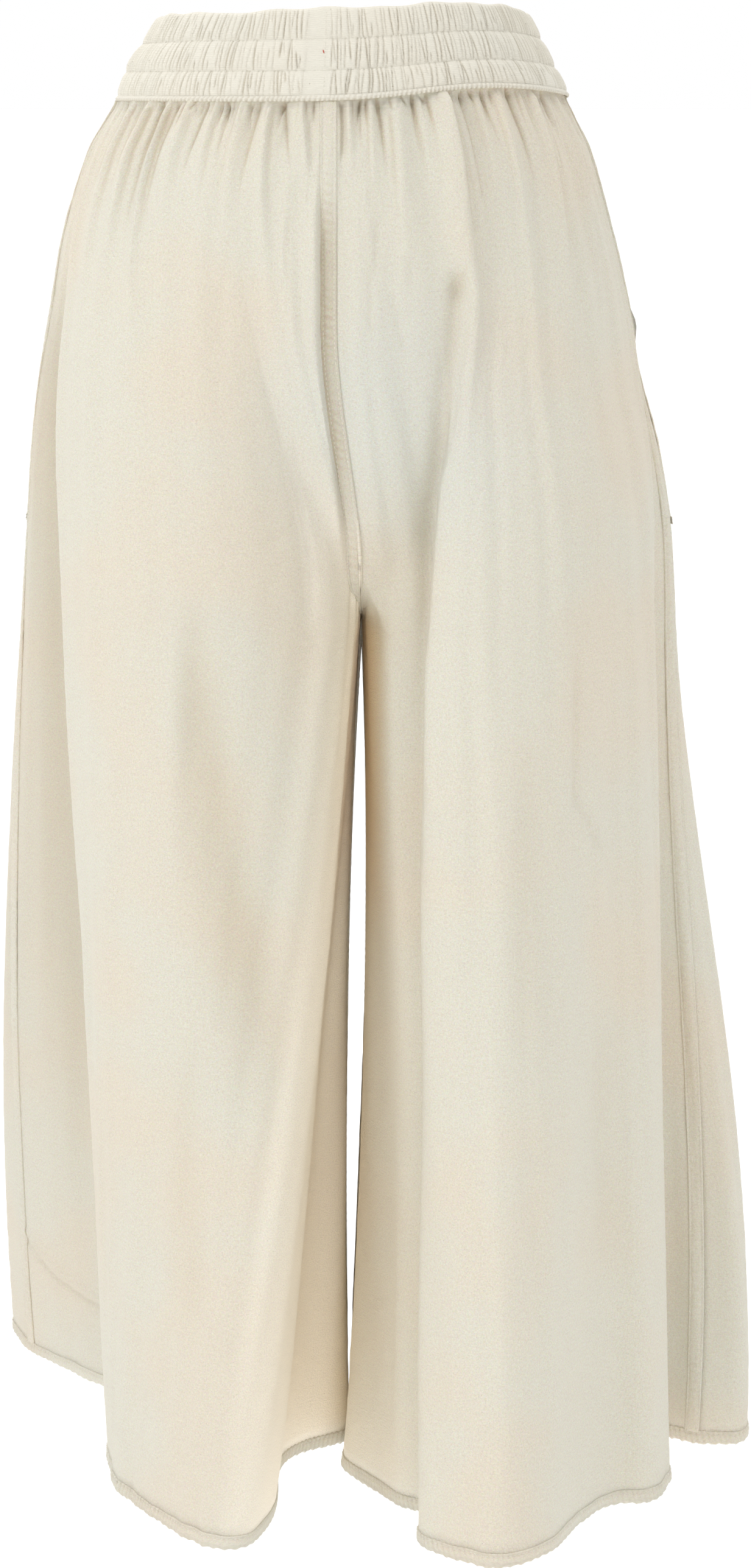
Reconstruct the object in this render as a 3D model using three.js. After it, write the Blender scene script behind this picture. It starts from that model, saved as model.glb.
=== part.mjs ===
// Palazzo trousers: a wide, cropped pair cut from four flared panels, gathered into a knitted waistband
// with three elastic channels. The garment keeps the hollow form it has when it is worn.
// Millimetres, +Z up. The origin is the centre of the waist seam, where the wearer holds it up.
// The wearer faces -Y, so the back of the trousers looks along +Y and the wearer's left leg lies at +X.
import * as THREE from "three";

const COTTON = new THREE.MeshStandardMaterial({ color: 0xe3dbc6, roughness: 0.92, metalness: 0, side: THREE.DoubleSide });
const KNIT = new THREE.MeshStandardMaterial({ color: 0xddd7c7, roughness: 0.95, metalness: 0, side: THREE.DoubleSide });

// Driving sizes
const BAND_HEIGHT = 53; // waistband, seam to top edge
const CROTCH_Z = -322; // where the centre seam meets both inside leg seams
const HEM_Z = -870;
const CLOTH = 1.2; // panel wall
const HEM_TURN = 13; // depth of the turned and stitched hem
const HEM_EXTRA = 0.5; // how far the turned hem stands out

// The plain body inside the folds, from the waist seam down: half width at each side, and depth from the
// side seam line to the back and to the front.
const BODY = [
  { z: 60, leftSide: 137, rightSide: 134, back: 99, front: 92 },
  { z: 0, leftSide: 140, rightSide: 138, back: 102, front: 95 },
  { z: -12, leftSide: 146, rightSide: 143, back: 106, front: 99 },
  { z: -34, leftSide: 158, rightSide: 154, back: 113, front: 105 },
  { z: -79, leftSide: 173, rightSide: 167, back: 122, front: 114 },
  { z: -125, leftSide: 182, rightSide: 178, back: 128, front: 120 },
  { z: -171, leftSide: 191, rightSide: 187, back: 131, front: 123 },
  { z: -218, leftSide: 198, rightSide: 200, back: 132, front: 125 },
  { z: -266, leftSide: 203, rightSide: 209, back: 131, front: 126 },
  { z: -322, leftSide: 208, rightSide: 213, back: 130, front: 127 },
  { z: -400, leftSide: 214, rightSide: 214, back: 130, front: 128 },
];

// One row for each fold line of a leg. u runs 0 to 1 across the back panel, from the centre seam to the
// side seam, and 1 to 2 across the front panel. waist is the angle round the waist where the line leaves
// the gathers, from 0 at the centre back to 180 at the centre front, and from is the height where the fold
// starts to stand off the body. x is the distance out from the middle of the wearer and y is towards the
// back, at the crotch and at the hem. bow is how far the line swells out between those two, lower down on
// the right leg.
const LEFT_FOLDS = [
  { fold: "inside seam", u: 0.0, waist: 0, from: -40, crotchX: -11.8, crotchY: 20, hemX: -0.5, hemY: -8, bow: 5 },
  { fold: "inner thigh", u: 0.05, waist: 1.5, from: -40, crotchX: -10.5, crotchY: 44, hemX: -0.5, hemY: 22, bow: 5 },
  { fold: "inner valley", u: 0.1, waist: 3.5, from: -40, crotchX: -10, crotchY: 60, hemX: 28, hemY: 44, bow: 3 },
  { fold: "flank foot", u: 0.14, waist: 6, from: -40, crotchX: -9, crotchY: 72, hemX: 41, hemY: 75, bow: 0 },
  { fold: "flank", u: 0.18, waist: 9, from: -40, crotchX: -7, crotchY: 84, hemX: 43, hemY: 138, bow: -3 },
  { fold: "flute ridge", u: 0.23, waist: 14, from: -40, crotchX: -2, crotchY: 99, hemX: 53, hemY: 197, bow: -4 },
  { fold: "flute tip", u: 0.28, waist: 19, from: -40, crotchX: 13, crotchY: 117, hemX: 71, hemY: 211, bow: -3 },
  { fold: "flute belly", u: 0.38, waist: 29, from: -40, crotchX: 62, crotchY: 141, hemX: 98, hemY: 188, bow: 0 },
  { fold: "soft hollow", u: 0.49, waist: 43, from: -40, crotchX: 108, crotchY: 137, hemX: 125, hemY: 146, bow: 0 },
  { fold: "flute shoulder", u: 0.59, waist: 59, from: -30, crotchX: 148, crotchY: 110, hemX: 144, hemY: 108, bow: 0 },
  { fold: "flute edge", u: 0.66, waist: 72, from: -20, crotchX: 164, crotchY: 74, hemX: 148, hemY: 80, bow: 0 },
  { fold: "wall behind", u: 0.73, waist: 78, from: -20, crotchX: 172, crotchY: 34, hemX: 145, hemY: 14, bow: 0 },
  { fold: "side valley", u: 0.8, waist: 82, from: -20, crotchX: 185, crotchY: 4, hemX: 151, hemY: -58, bow: 0 },
  { fold: "side slope", u: 0.88, waist: 85, from: -30, crotchX: 199, crotchY: -16, hemX: 182, hemY: -104, bow: 5 },
  { fold: "side seam", u: 1.0, waist: 90, from: -60, crotchX: 208, crotchY: -44, hemX: 223, hemY: -160, bow: 10 },
  { fold: "side peak", u: 1.08, waist: 95, from: -60, crotchX: 206, crotchY: -68, hemX: 238, hemY: -206, bow: 11.5 },
  { fold: "front corner", u: 1.17, waist: 103, from: -50, crotchX: 193, crotchY: -94, hemX: 227, hemY: -232, bow: 8 },
  { fold: "front hollow", u: 1.29, waist: 115, from: -40, crotchX: 162, crotchY: -118, hemX: 184, hemY: -196, bow: 0 },
  { fold: "front rise", u: 1.38, waist: 126, from: -40, crotchX: 132, crotchY: -136, hemX: 152, hemY: -192, bow: 0 },
  { fold: "front peak", u: 1.48, waist: 139, from: -40, crotchX: 100, crotchY: -148, hemX: 118, hemY: -222, bow: 0 },
  { fold: "front shoulder", u: 1.57, waist: 150, from: -40, crotchX: 70, crotchY: -145, hemX: 88, hemY: -212, bow: 0 },
  { fold: "front valley", u: 1.66, waist: 160, from: -40, crotchX: 44, crotchY: -132, hemX: 64, hemY: -172, bow: 0 },
  { fold: "inner front", u: 1.75, waist: 168, from: -40, crotchX: 18, crotchY: -112, hemX: 40, hemY: -166, bow: 0 },
  { fold: "inner corner", u: 1.84, waist: 174, from: -40, crotchX: -2, crotchY: -80, hemX: 14, hemY: -136, bow: 2 },
  { fold: "inner thigh front", u: 1.93, waist: 177.5, from: -40, crotchX: -9.5, crotchY: -30, hemX: 4, hemY: -72, bow: 5 },
  { fold: "inside seam front", u: 2.0, waist: 180, from: -40, crotchX: -11.8, crotchY: 20, hemX: -0.5, hemY: -8, bow: 5 },
];
const RIGHT_FOLDS = [
  { fold: "inside seam", u: 0.0, waist: 0, from: -40, crotchX: 12.2, crotchY: 20, hemX: 3.5, hemY: -8, bow: 6 },
  { fold: "inner thigh", u: 0.05, waist: 1.5, from: -40, crotchX: 12.6, crotchY: 44, hemX: 3.5, hemY: 34, bow: 6 },
  { fold: "inner curve", u: 0.1, waist: 4, from: -40, crotchX: 15, crotchY: 66, hemX: -3, hemY: 70, bow: 8 },
  { fold: "inner valley", u: 0.16, waist: 9, from: -60, crotchX: 28, crotchY: 92, hemX: 27, hemY: 122, bow: 3 },
  { fold: "flute foot", u: 0.21, waist: 16, from: -100, crotchX: 48, crotchY: 110, hemX: 41, hemY: 158, bow: 0 },
  { fold: "flute edge", u: 0.26, waist: 24, from: -120, crotchX: 57, crotchY: 147, hemX: 52, hemY: 196, bow: 0 },
  { fold: "flute crest", u: 0.33, waist: 30, from: -90, crotchX: 78, crotchY: 164, hemX: 76, hemY: 230, bow: 0 },
  { fold: "flute tip", u: 0.4, waist: 37, from: -60, crotchX: 102, crotchY: 162, hemX: 98, hemY: 239, bow: 0 },
  { fold: "flute belly", u: 0.48, waist: 46, from: -40, crotchX: 131, crotchY: 148, hemX: 128, hemY: 212, bow: 0 },
  { fold: "soft hollow", u: 0.55, waist: 55, from: -40, crotchX: 153, crotchY: 128, hemX: 148, hemY: 166, bow: 0 },
  { fold: "second rise", u: 0.61, waist: 63, from: -40, crotchX: 170, crotchY: 104, hemX: 168, hemY: 137, bow: 0 },
  { fold: "second shoulder", u: 0.68, waist: 72, from: -60, crotchX: 184, crotchY: 80, hemX: 195, hemY: 128, bow: 0 },
  { fold: "outer edge", u: 0.75, waist: 80, from: -120, crotchX: 193, crotchY: 52, hemX: 208, hemY: 96, bow: 0 },
  { fold: "wall behind", u: 0.82, waist: 84, from: -150, crotchX: 195, crotchY: 26, hemX: 206, hemY: 48, bow: 0 },
  { fold: "side valley", u: 0.9, waist: 87, from: -130, crotchX: 200, crotchY: 8, hemX: 211, hemY: 14, bow: 3 },
  { fold: "side seam", u: 1.0, waist: 90, from: -60, crotchX: 211, crotchY: -8, hemX: 232, hemY: 25, bow: 8 },
  { fold: "side peak", u: 1.06, waist: 94, from: -60, crotchX: 212, crotchY: -26, hemX: 258, hemY: 27, bow: 11 },
  { fold: "side corner", u: 1.13, waist: 100, from: -50, crotchX: 209, crotchY: -48, hemX: 266, hemY: -4, bow: 12 },
  { fold: "side fall", u: 1.22, waist: 108, from: -40, crotchX: 196, crotchY: -76, hemX: 245, hemY: -56, bow: 8 },
  { fold: "front hollow", u: 1.32, waist: 118, from: -40, crotchX: 174, crotchY: -106, hemX: 214, hemY: -104, bow: 0 },
  { fold: "front rise", u: 1.4, waist: 127, from: -40, crotchX: 150, crotchY: -130, hemX: 188, hemY: -152, bow: 0 },
  { fold: "front peak", u: 1.5, waist: 139, from: -40, crotchX: 118, crotchY: -148, hemX: 148, hemY: -204, bow: 0 },
  { fold: "front shoulder", u: 1.59, waist: 150, from: -40, crotchX: 86, crotchY: -145, hemX: 110, hemY: -202, bow: 0 },
  { fold: "front valley", u: 1.67, waist: 160, from: -40, crotchX: 60, crotchY: -132, hemX: 80, hemY: -166, bow: 0 },
  { fold: "inner front", u: 1.76, waist: 168, from: -40, crotchX: 38, crotchY: -111, hemX: 48, hemY: -166, bow: 0 },
  { fold: "inner corner", u: 1.85, waist: 174, from: -40, crotchX: 22, crotchY: -80, hemX: 14, hemY: -130, bow: 3 },
  { fold: "inner thigh front", u: 1.93, waist: 177.5, from: -40, crotchX: 14, crotchY: -32, hemX: 4, hemY: -66, bow: 5 },
  { fold: "inside seam front", u: 2.0, waist: 180, from: -40, crotchX: 12.2, crotchY: 20, hemX: 3.5, hemY: -8, bow: 6 },
];

const clamp01 = (t) => Math.min(1, Math.max(0, t));
const lerp = (a, b, t) => a + (b - a) * t;
const ease = (t) => clamp01(t) ** 2 * (3 - 2 * clamp01(t));
const bell = (t) => Math.exp(-t * t);
// A repeatable spread of values from 0 to 1, so that no two gathers are alike.
const spread = (n) => Math.abs(Math.sin(n * 12.9898 + 4.1) * 43758.5453) % 1;

// A smooth curve through a table's rows: returns a function from the column `at` to the named columns.
// A ring's table closes on itself, so its end slopes look past the join.
function curveThrough(rows, at, columns, ring = false) {
  const sorted = [...rows].sort((a, b) => a[at] - b[at]);
  const last = sorted.length - 1;
  const span = sorted[last][at] - sorted[0][at];
  const slope = (i, column) => {
    const before = i > 0 ? sorted[i - 1] : ring ? sorted[last - 1] : sorted[0];
    const after = i < last ? sorted[i + 1] : ring ? sorted[1] : sorted[last];
    const wrap = ring && (i === 0 || i === last) ? span : 0;
    return (after[column] - before[column]) / (after[at] - before[at] + wrap);
  };
  const slopes = columns.map((column) => sorted.map((_, i) => slope(i, column)));
  return (value) => {
    let i = 0;
    while (i < last - 1 && value > sorted[i + 1][at]) i++;
    const [a, b] = [sorted[i], sorted[i + 1]];
    const step = b[at] - a[at];
    const t = clamp01((value - a[at]) / step);
    const [t2, t3] = [t * t, t * t * t];
    const out = {};
    columns.forEach((column, k) => {
      out[column] =
        (2 * t3 - 3 * t2 + 1) * a[column] +
        (t3 - 2 * t2 + t) * step * slopes[k][i] +
        (3 * t2 - 2 * t3) * b[column] +
        (t3 - t2) * step * slopes[k][i + 1];
    });
    return out;
  };
}

// The long gathers that run on as soft folds: angle round the waist, height off the cloth, half width and
// length down the leg.
const LONG_GATHERS = {
  left: [
    { waist: 21, height: 4, width: 3.4, length: 210 },
    { waist: 50, height: 4, width: 3.2, length: 190 },
    { waist: 112, height: 4.5, width: 3.6, length: 190 },
    { waist: 146, height: 4.5, width: 3.4, length: 200 },
  ],
  right: [
    { waist: 28.5, height: 5, width: 2.6, length: 230 },
    { waist: 57, height: 4, width: 3.2, length: 180 },
    { waist: 108, height: 4, width: 3.6, length: 200 },
    { waist: 142, height: 4.5, width: 3.2, length: 190 },
  ],
};
const GATHERS = 12; // in each panel
const SIDE_GATHERS = 2 * GATHERS; // in a back and a front panel together

// Each gather has its own place, height and length.
function gatherList(seed, longOnes) {
  const pitch = 180 / SIDE_GATHERS;
  const list = longOnes.map((g) => ({ ...g }));
  for (let i = 0; i < SIDE_GATHERS; i++) {
    const waist = (i + 0.5 + 0.4 * (spread(seed + i) - 0.5)) * pitch;
    if (longOnes.some((g) => Math.abs(g.waist - waist) < 0.7 * pitch)) continue;
    list.push({
      waist,
      height: lerp(2.4, 4.2, spread(seed + 31 + i)),
      width: lerp(1.9, 2.5, spread(seed + 47 + i)),
      length: lerp(70, 190, spread(seed + 83 + i)),
    });
  }
  return list;
}

const body = curveThrough(BODY, "z", ["leftSide", "rightSide", "back", "front"]);
const FOLD_COLUMNS = ["waist", "from", "crotchX", "crotchY", "hemX", "hemY", "bow"];
const makeLeg = (sign, bowLow, cleftBack, cleftFront, rows, seed, longOnes) => ({
  sign,
  bowLow, // 0 where the folds swell most halfway down the leg, 1 where they swell below that
  cleftBack, // how far round from the centre seam the cloth is drawn in under the crotch
  cleftFront,
  gathers: gatherList(seed, longOnes),
  folds: curveThrough(rows, "u", FOLD_COLUMNS.slice(1), true),
  waist: curveThrough(rows, "u", ["waist"]),
  column: curveThrough(rows, "waist", ["u"]),
});
const LEGS = {
  left: makeLeg(1, 0, [0.26, 0.4], [0.26, 0.4], LEFT_FOLDS, 1, LONG_GATHERS.left),
  right: makeLeg(-1, 1, [0.17, 0.27], [0.26, 0.4], RIGHT_FOLDS, 300, LONG_GATHERS.right),
};

// The centre seam leaves the middle of the waist and swings to the wearer's right at the crotch.
const centreX = (z) => lerp(3, -12, ease((-130 - z) / 160));

// The waist seam isn't quite level: it rides up over the wearer's right hip.
const seamRise = (x, y) => 8 * bell((x + 92) / 62) * ease((y + 60) / 120);

// How much a gather stands up at a height: pinched by the seam, full just below it, then dying away.
const gatherLife = (z, length) => lerp(0.55, 1, ease(-z / 14)) * (1 - ease((-z - 8) / length));

// The body without folds: a ring round both legs, closed at the centre seams.
function plainBody(leg, angle, z) {
  const b = body(z);
  const across = Math.sin((angle * Math.PI) / 180);
  const along = Math.cos((angle * Math.PI) / 180);
  const seam = centreX(z) + leg.sign * 0.2;
  return {
    x: seam * (1 - across) + leg.sign * (leg.sign > 0 ? b.leftSide : b.rightSide) * across,
    y: along * (angle < 90 ? b.back : b.front),
  };
}

// The leg below the crotch: each fold line hangs straight, with a little bow.
function hangingLeg(leg, u, z) {
  const f = leg.folds(u);
  const t = (CROTCH_Z - z) / (CROTCH_Z - HEM_Z);
  const inside = bell(u / 0.12) + bell((2 - u) / 0.12);
  const even = 4 * t * (1 - t) * (1 + 0.35 * inside * (1 - 2 * t));
  const swell = f.bow * lerp(even, 6.75 * t * t * (1 - t), leg.bowLow * (1 - inside));
  return { x: leg.sign * (lerp(f.crotchX, f.hemX, t) + swell), y: lerp(f.crotchY, f.hemY, t) };
}

// A point of the cloth's outer face, before the gathers.
function foldedCloth(leg, u, z) {
  if (z <= CROTCH_Z) return hangingLeg(leg, u, z);
  const angle = leg.waist(u).waist;
  const start = leg.folds(u).from;
  const plain = plainBody(leg, angle, z);
  const plainEnd = plainBody(leg, angle, CROTCH_Z);
  const plainAbove = plainBody(leg, angle, CROTCH_Z + 1);
  const end = hangingLeg(leg, u, CROTCH_Z);
  const below = hangingLeg(leg, u, CROTCH_Z - 1);
  const t = clamp01((start - z) / (start - CROTCH_Z));
  // The centre seams run down the back and the front and curve in under the crotch like a J.
  const jStart = -150;
  const j = clamp01((jStart - z) / (jStart - CROTCH_Z));
  const atSeam = bell(Math.min(u, 2 - u) / 0.08);
  const curl = lerp(ease(j ** 1.5), 1 - (1 - j ** 1.6) ** 0.6, atSeam);
  const [near, far] = u < 1 ? leg.cleftBack : leg.cleftFront;
  const cleft = 1 - ease((Math.min(u, 2 - u) - near) / (far - near));
  const reach = (axis) => {
    const offset = end[axis] - plainEnd[axis];
    const drift = below[axis] - end[axis] - (plainEnd[axis] - plainAbove[axis]);
    const length = (start - CROTCH_Z) * (1 - bell(Math.min(u, 2 - u) / 0.14));
    const fold = offset * ease(t) + drift * length * (t ** 3 - t ** 2);
    return plain[axis] + (axis === "y" ? lerp(fold, offset * curl, cleft) : fold);
  };
  return { x: reach("x"), y: reach("y") };
}

// The outward direction of a section at u, level with the ground.
function outward(leg, u, z) {
  const a = foldedCloth(leg, u - 0.004, z);
  const b = foldedCloth(leg, u + 0.004, z);
  const length = Math.hypot(b.x - a.x, b.y - a.y);
  return { x: (leg.sign * (b.y - a.y)) / -length, y: (leg.sign * (b.x - a.x)) / length };
}

// A point of the cloth's outer face with its gathers.
function cloth(leg, u, z) {
  const p = foldedCloth(leg, u, z);
  if (z > -240) {
    const angle = leg.waist(u).waist;
    const away = outward(leg, clamp01(u / 2) * 2, z);
    const edge = ease(angle / 3) * ease((180 - angle) / 3);
    let lift = -1.4 * gatherLife(z, 120);
    for (const g of leg.gathers) {
      if (Math.abs(angle - g.waist) < 4 * g.width) {
        const width = g.width * lerp(1, 1.5, clamp01(-z / 200));
        lift += g.height * bell((angle - g.waist) / width) * gatherLife(z, g.length);
      }
    }
    p.x += away.x * lift * edge;
    p.y += away.y * lift * edge;
  }
  const rise = seamRise(p.x, p.y) * (1 - ease(-z / 90));
  return new THREE.Vector3(p.x, p.y, z + rise);
}

// The cloth's outward normal at a point.
function normalAt(leg, u, z) {
  const across = cloth(leg, u + 0.003, z).sub(cloth(leg, u - 0.003, z));
  const down = cloth(leg, u, z - 1.5).sub(cloth(leg, u, Math.min(z + 1.5, 0)));
  return across.cross(down).multiplyScalar(leg.sign).normalize();
}

// Collects points and triangles of one solid.
class Solid {
  constructor() {
    this.points = [];
    this.triangles = [];
  }
  row(points) {
    return points.map((p) => this.points.push(p) - 1);
  }
  // Joins two rows that may have different numbers of points; at and bt say where each point lies. The
  // inner face is joined the same way round as the outer one and turned over, so the wall keeps its thickness.
  zip(a, b, at, bt, turned = false) {
    let [i, j] = [0, 0];
    while (i < a.length - 1 || j < b.length - 1) {
      const nextA = i < a.length - 1 ? (at[i] + at[i + 1]) / 2 : Infinity;
      const nextB = j < b.length - 1 ? (bt[j] + bt[j + 1]) / 2 : Infinity;
      const corners = nextA <= nextB ? [a[i], b[j], a[i + 1]] : [a[i], b[j], b[j + 1]];
      this.triangles.push(turned ? corners.reverse() : corners);
      if (nextA <= nextB) i++;
      else j++;
    }
  }
  mesh(name) {
    const position = this.points.flatMap((p) => [p.x, p.y, p.z]);
    let volume = 0;
    for (const [a, b, c] of this.triangles) {
      volume += this.points[a].dot(new THREE.Vector3().crossVectors(this.points[b], this.points[c]));
    }
    const turned = volume < 0 ? this.triangles.map(([a, b, c]) => [a, c, b]) : this.triangles;
    const geometry = new THREE.BufferGeometry();
    geometry.setAttribute("position", new THREE.Float32BufferAttribute(position, 3));
    geometry.setIndex(turned.flat());
    geometry.computeVertexNormals();
    const mesh = new THREE.Mesh(geometry, name === "waistband" ? KNIT : COTTON);
    mesh.name = name;
    return mesh;
  }
}

// A sheet with thickness, from its top edge to its bottom edge. A layer is { at, points }: where its points
// lie along the row, and the points themselves. A ring closes on itself and may have fewer inner layers.
function sheet(name, outerLayers, innerLayers, ring = false) {
  const solid = new Solid();
  const place = ({ at, points }) => {
    const row = solid.row(points);
    return { at, row: ring ? [...row, row[0]] : row };
  };
  const outer = outerLayers.map(place);
  const inner = innerLayers.map(place);
  for (let k = 0; k + 1 < outer.length; k++) {
    solid.zip(outer[k].row, outer[k + 1].row, outer[k].at, outer[k + 1].at);
  }
  for (let k = 0; k + 1 < inner.length; k++) {
    solid.zip(inner[k].row, inner[k + 1].row, inner[k].at, inner[k + 1].at, true);
  }
  solid.zip(inner[0].row, outer[0].row, inner[0].at, outer[0].at);
  solid.zip(outer.at(-1).row, inner.at(-1).row, outer.at(-1).at, inner.at(-1).at);
  for (let k = 0; !ring && k + 1 < outer.length; k++) {
    const corners = (end) => [outer[k], inner[k], outer[k + 1], inner[k + 1]].map(({ row }) => row.at(end));
    const [ao, ai, bo, bi] = corners(0);
    solid.triangles.push([ao, ai, bo], [ai, bi, bo]);
    const [co, ci, eo, ei] = corners(-1);
    solid.triangles.push([co, eo, ci], [ci, eo, ei]);
  }
  return solid.mesh(name);
}

// Heights of the panel rows: close together in the gathers and where the centre seams curl under.
const GATHERED_ROWS = [-0.4, -9, -22, -40, -64, -94];
const HANGING_ROWS = [-126, -160, -194, -226, -254, -278, -298, -312, CROTCH_Z, -342, -400, -500, -620, -740];
const HEM_ROWS = [HEM_Z + HEM_TURN + 0.8, HEM_Z + HEM_TURN - 0.8, HEM_Z];
const HANGING_COLUMNS = 24;

// How far the pocket mouth stands open at a height, 0 to 1.
const POCKET = { top: -92, bottom: -262, gape: 2.2, proud: 2.4, bag: 2.2 };
const pocketOpen = (z) => {
  const t = (POCKET.top - z) / (POCKET.top - POCKET.bottom);
  return t <= 0 || t >= 1 ? 0 : ease(t / 0.3) * ease((1 - t) / 0.7);
};

// One panel of a leg, from the waist seam to the hem. The back panel takes u from 0 to 1 and the front
// panel takes u from 1 to 2. Its edges meet its neighbours' at the centre, side and inside leg seams.
function panel(name, leg, isBack) {
  const [uStart, uEnd] = isBack ? [0, 1] : [1, 2];
  const gathered = [];
  for (let i = 0; i <= 4 * GATHERS; i++) {
    const angle = (isBack ? 0 : 90) + (i / (4 * GATHERS)) * 90;
    gathered.push(i === 0 ? uStart : i === 4 * GATHERS ? uEnd : leg.column(angle).u);
  }
  const hanging = [];
  for (let i = 0; i <= HANGING_COLUMNS; i++) hanging.push(uStart + i / HANGING_COLUMNS);
  // The end columns stop 0.2 mm short of the seam, and further back along the pocket mouth.
  const perU = (u, z) => cloth(leg, u + 0.01, z).distanceTo(cloth(leg, u - 0.01, z)) / 0.02;
  const columnsAt = (list, z) => {
    const columns = [...list];
    const first = perU(uStart + 0.02, z);
    const last = perU(uEnd - 0.02, z);
    const open = pocketOpen(z) * POCKET.gape;
    columns[0] = uStart + (0.2 + (isBack ? 0 : open)) / first;
    columns[columns.length - 1] = uEnd - (0.2 + (isBack ? open : 0)) / last;
    return columns;
  };
  const layer = (list, z, extra) => {
    const columns = columnsAt(list, z);
    const outer = [];
    const inner = [];
    columns.forEach((u, i) => {
      const p = cloth(leg, u, z);
      const n = normalAt(leg, u, z);
      const atSide = isBack ? i >= columns.length - 1 : i === 0;
      const proud = atSide && !isBack ? pocketOpen(z) * POCKET.proud : 0;
      outer.push(p.clone().addScaledVector(n, extra + proud));
      inner.push(p.clone().addScaledVector(n, proud - CLOTH - extra));
    });
    return [{ at: list, points: outer }, { at: list, points: inner }];
  };
  const layers = [
    ...GATHERED_ROWS.map((z) => layer(gathered, z, 0)),
    ...HANGING_ROWS.map((z) => layer(hanging, z, 0)),
    ...HEM_ROWS.map((z, k) => layer(hanging, z, k > 0 ? HEM_EXTRA : 0)),
  ];
  return sheet(name, layers.map((l) => l[0]), layers.map((l) => l[1]));
}

// The waistband: a knitted band with three elastic channels, ribbed outside and plain inside, joined at
// the centre back by a flat strip.
const BAND_TOP_DIP = 4; // the top edge sits lower at the sides
const BAND = { ribs: 90, joinAngle: 0.06, wall: 1.6, thickest: 3.2 };
const BAND_PROFILE = [
  { h: 0.4, out: 0.6, rib: 0.5 },
  { h: 3.5, out: 2.2, rib: 1.0 },
  { h: 9.5, out: 2.0, rib: 1.6 },
  { h: 16.5, out: 0, rib: 0.5 },
  { h: 26, out: 2.3, rib: 1.7 },
  { h: 35, out: 0, rib: 0.5 },
  { h: 44, out: 2.2, rib: 1.7 },
  { h: BAND_HEIGHT, out: 0.4, rib: 0.7 },
];
function bandRing(angle, h) {
  const t = h / BAND_HEIGHT;
  const belly = 3 * bell((h - 22) / 13) * clamp01(Math.sin(angle)) ** 2; // the left side bellies out a little
  const half = lerp(140, 114, t ** 0.92) + belly;
  const back = lerp(103, 84, t ** 0.92);
  const front = lerp(96, 80, t ** 0.92);
  const x = Math.sin(angle);
  const y = Math.cos(angle);
  return { x: half * x, y: y * (y > 0 ? back : front) };
}
function bandPoint(angle, h, push) {
  const ring = bandRing(angle, h);
  const ahead = bandRing(angle + 0.01, h);
  const away = new THREE.Vector3(ring.y - ahead.y, ahead.x - ring.x, 0).normalize();
  const rise = seamRise(ring.x, ring.y) * (1 - 0.35 * (h / BAND_HEIGHT));
  const dip = BAND_TOP_DIP * Math.sin(angle) ** 4 * (h / BAND_HEIGHT) ** 2;
  return new THREE.Vector3(ring.x, ring.y, h + rise - dip).addScaledVector(away, push);
}
function waistband() {
  const columns = 2 * BAND.ribs;
  const outer = BAND_PROFILE.map(({ h, out, rib }) => {
    const at = [];
    const points = [];
    for (let i = 0; i <= columns; i++) {
      at.push(i / columns);
      if (i === columns) break;
      const drift = 0.35 * (spread(i + 900) - 0.5);
      const angle = ((i + drift) / columns) * 2 * Math.PI;
      const fromJoin = Math.abs(Math.atan2(Math.sin(angle - BAND.joinAngle), Math.cos(angle - BAND.joinAngle)));
      const flat = 1 - ease((fromJoin - 0.06) / 0.05);
      const raised = i % 2 ? rib * lerp(0.75, 1.2, spread(i + 500)) : 0;
      points.push(bandPoint(angle, h, lerp(out + raised, 0.6 * out, flat)));
    }
    return { at, points };
  });
  const inner = [BAND_PROFILE[0], BAND_PROFILE[3], BAND_PROFILE.at(-1)].map(({ h }) => {
    const at = [];
    const points = [];
    for (let i = 0; i <= BAND.ribs; i++) {
      at.push(i / BAND.ribs);
      if (i < BAND.ribs) points.push(bandPoint((i / BAND.ribs) * 2 * Math.PI, h, BAND.wall - BAND.thickest));
    }
    return { at, points };
  });
  return sheet("waistband", outer.reverse(), inner.reverse(), true);
}

// A pocket bag: two plies lying flat together inside the front panel. It is sewn to the seam allowances
// along the pocket mouth, and hangs a little off the cloth further in.
function pocketBag(name, leg) {
  const rows = 8;
  const columns = 8;
  const outer = [];
  const inner = [];
  for (let k = 0; k <= rows; k++) {
    const at = [];
    const faces = [[], []];
    for (let i = 0; i <= columns; i++) {
      const across = i / columns;
      const u = lerp(0.985, 1.36, across);
      const top = POCKET.top + 4 - 8 * Math.sin(across * Math.PI);
      const bottom = POCKET.bottom - 6 - 44 * Math.sin(Math.min(1, across * 1.25) * Math.PI * 0.6);
      const z = lerp(top, bottom, k / rows);
      const p = cloth(leg, u, z);
      const n = normalAt(leg, u, z);
      const depth = CLOTH + lerp(0.5, 3, ease(across / 0.3));
      at.push(across);
      faces[0].push(p.clone().addScaledVector(n, -depth));
      faces[1].push(p.clone().addScaledVector(n, -depth - POCKET.bag));
    }
    outer.push({ at, points: faces[0] });
    inner.push({ at, points: faces[1] });
  }
  return sheet(name, outer, inner);
}

const trousers = new THREE.Group();
trousers.name = "palazzo_trousers";
trousers.add(
  waistband(),
  panel("back_left", LEGS.left, true),
  panel("front_left", LEGS.left, false),
  panel("back_right", LEGS.right, true),
  panel("front_right", LEGS.right, false),
  pocketBag("pocket_bag_left", LEGS.left),
  pocketBag("pocket_bag_right", LEGS.right),
);

export default trousers;
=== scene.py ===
import math

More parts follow.
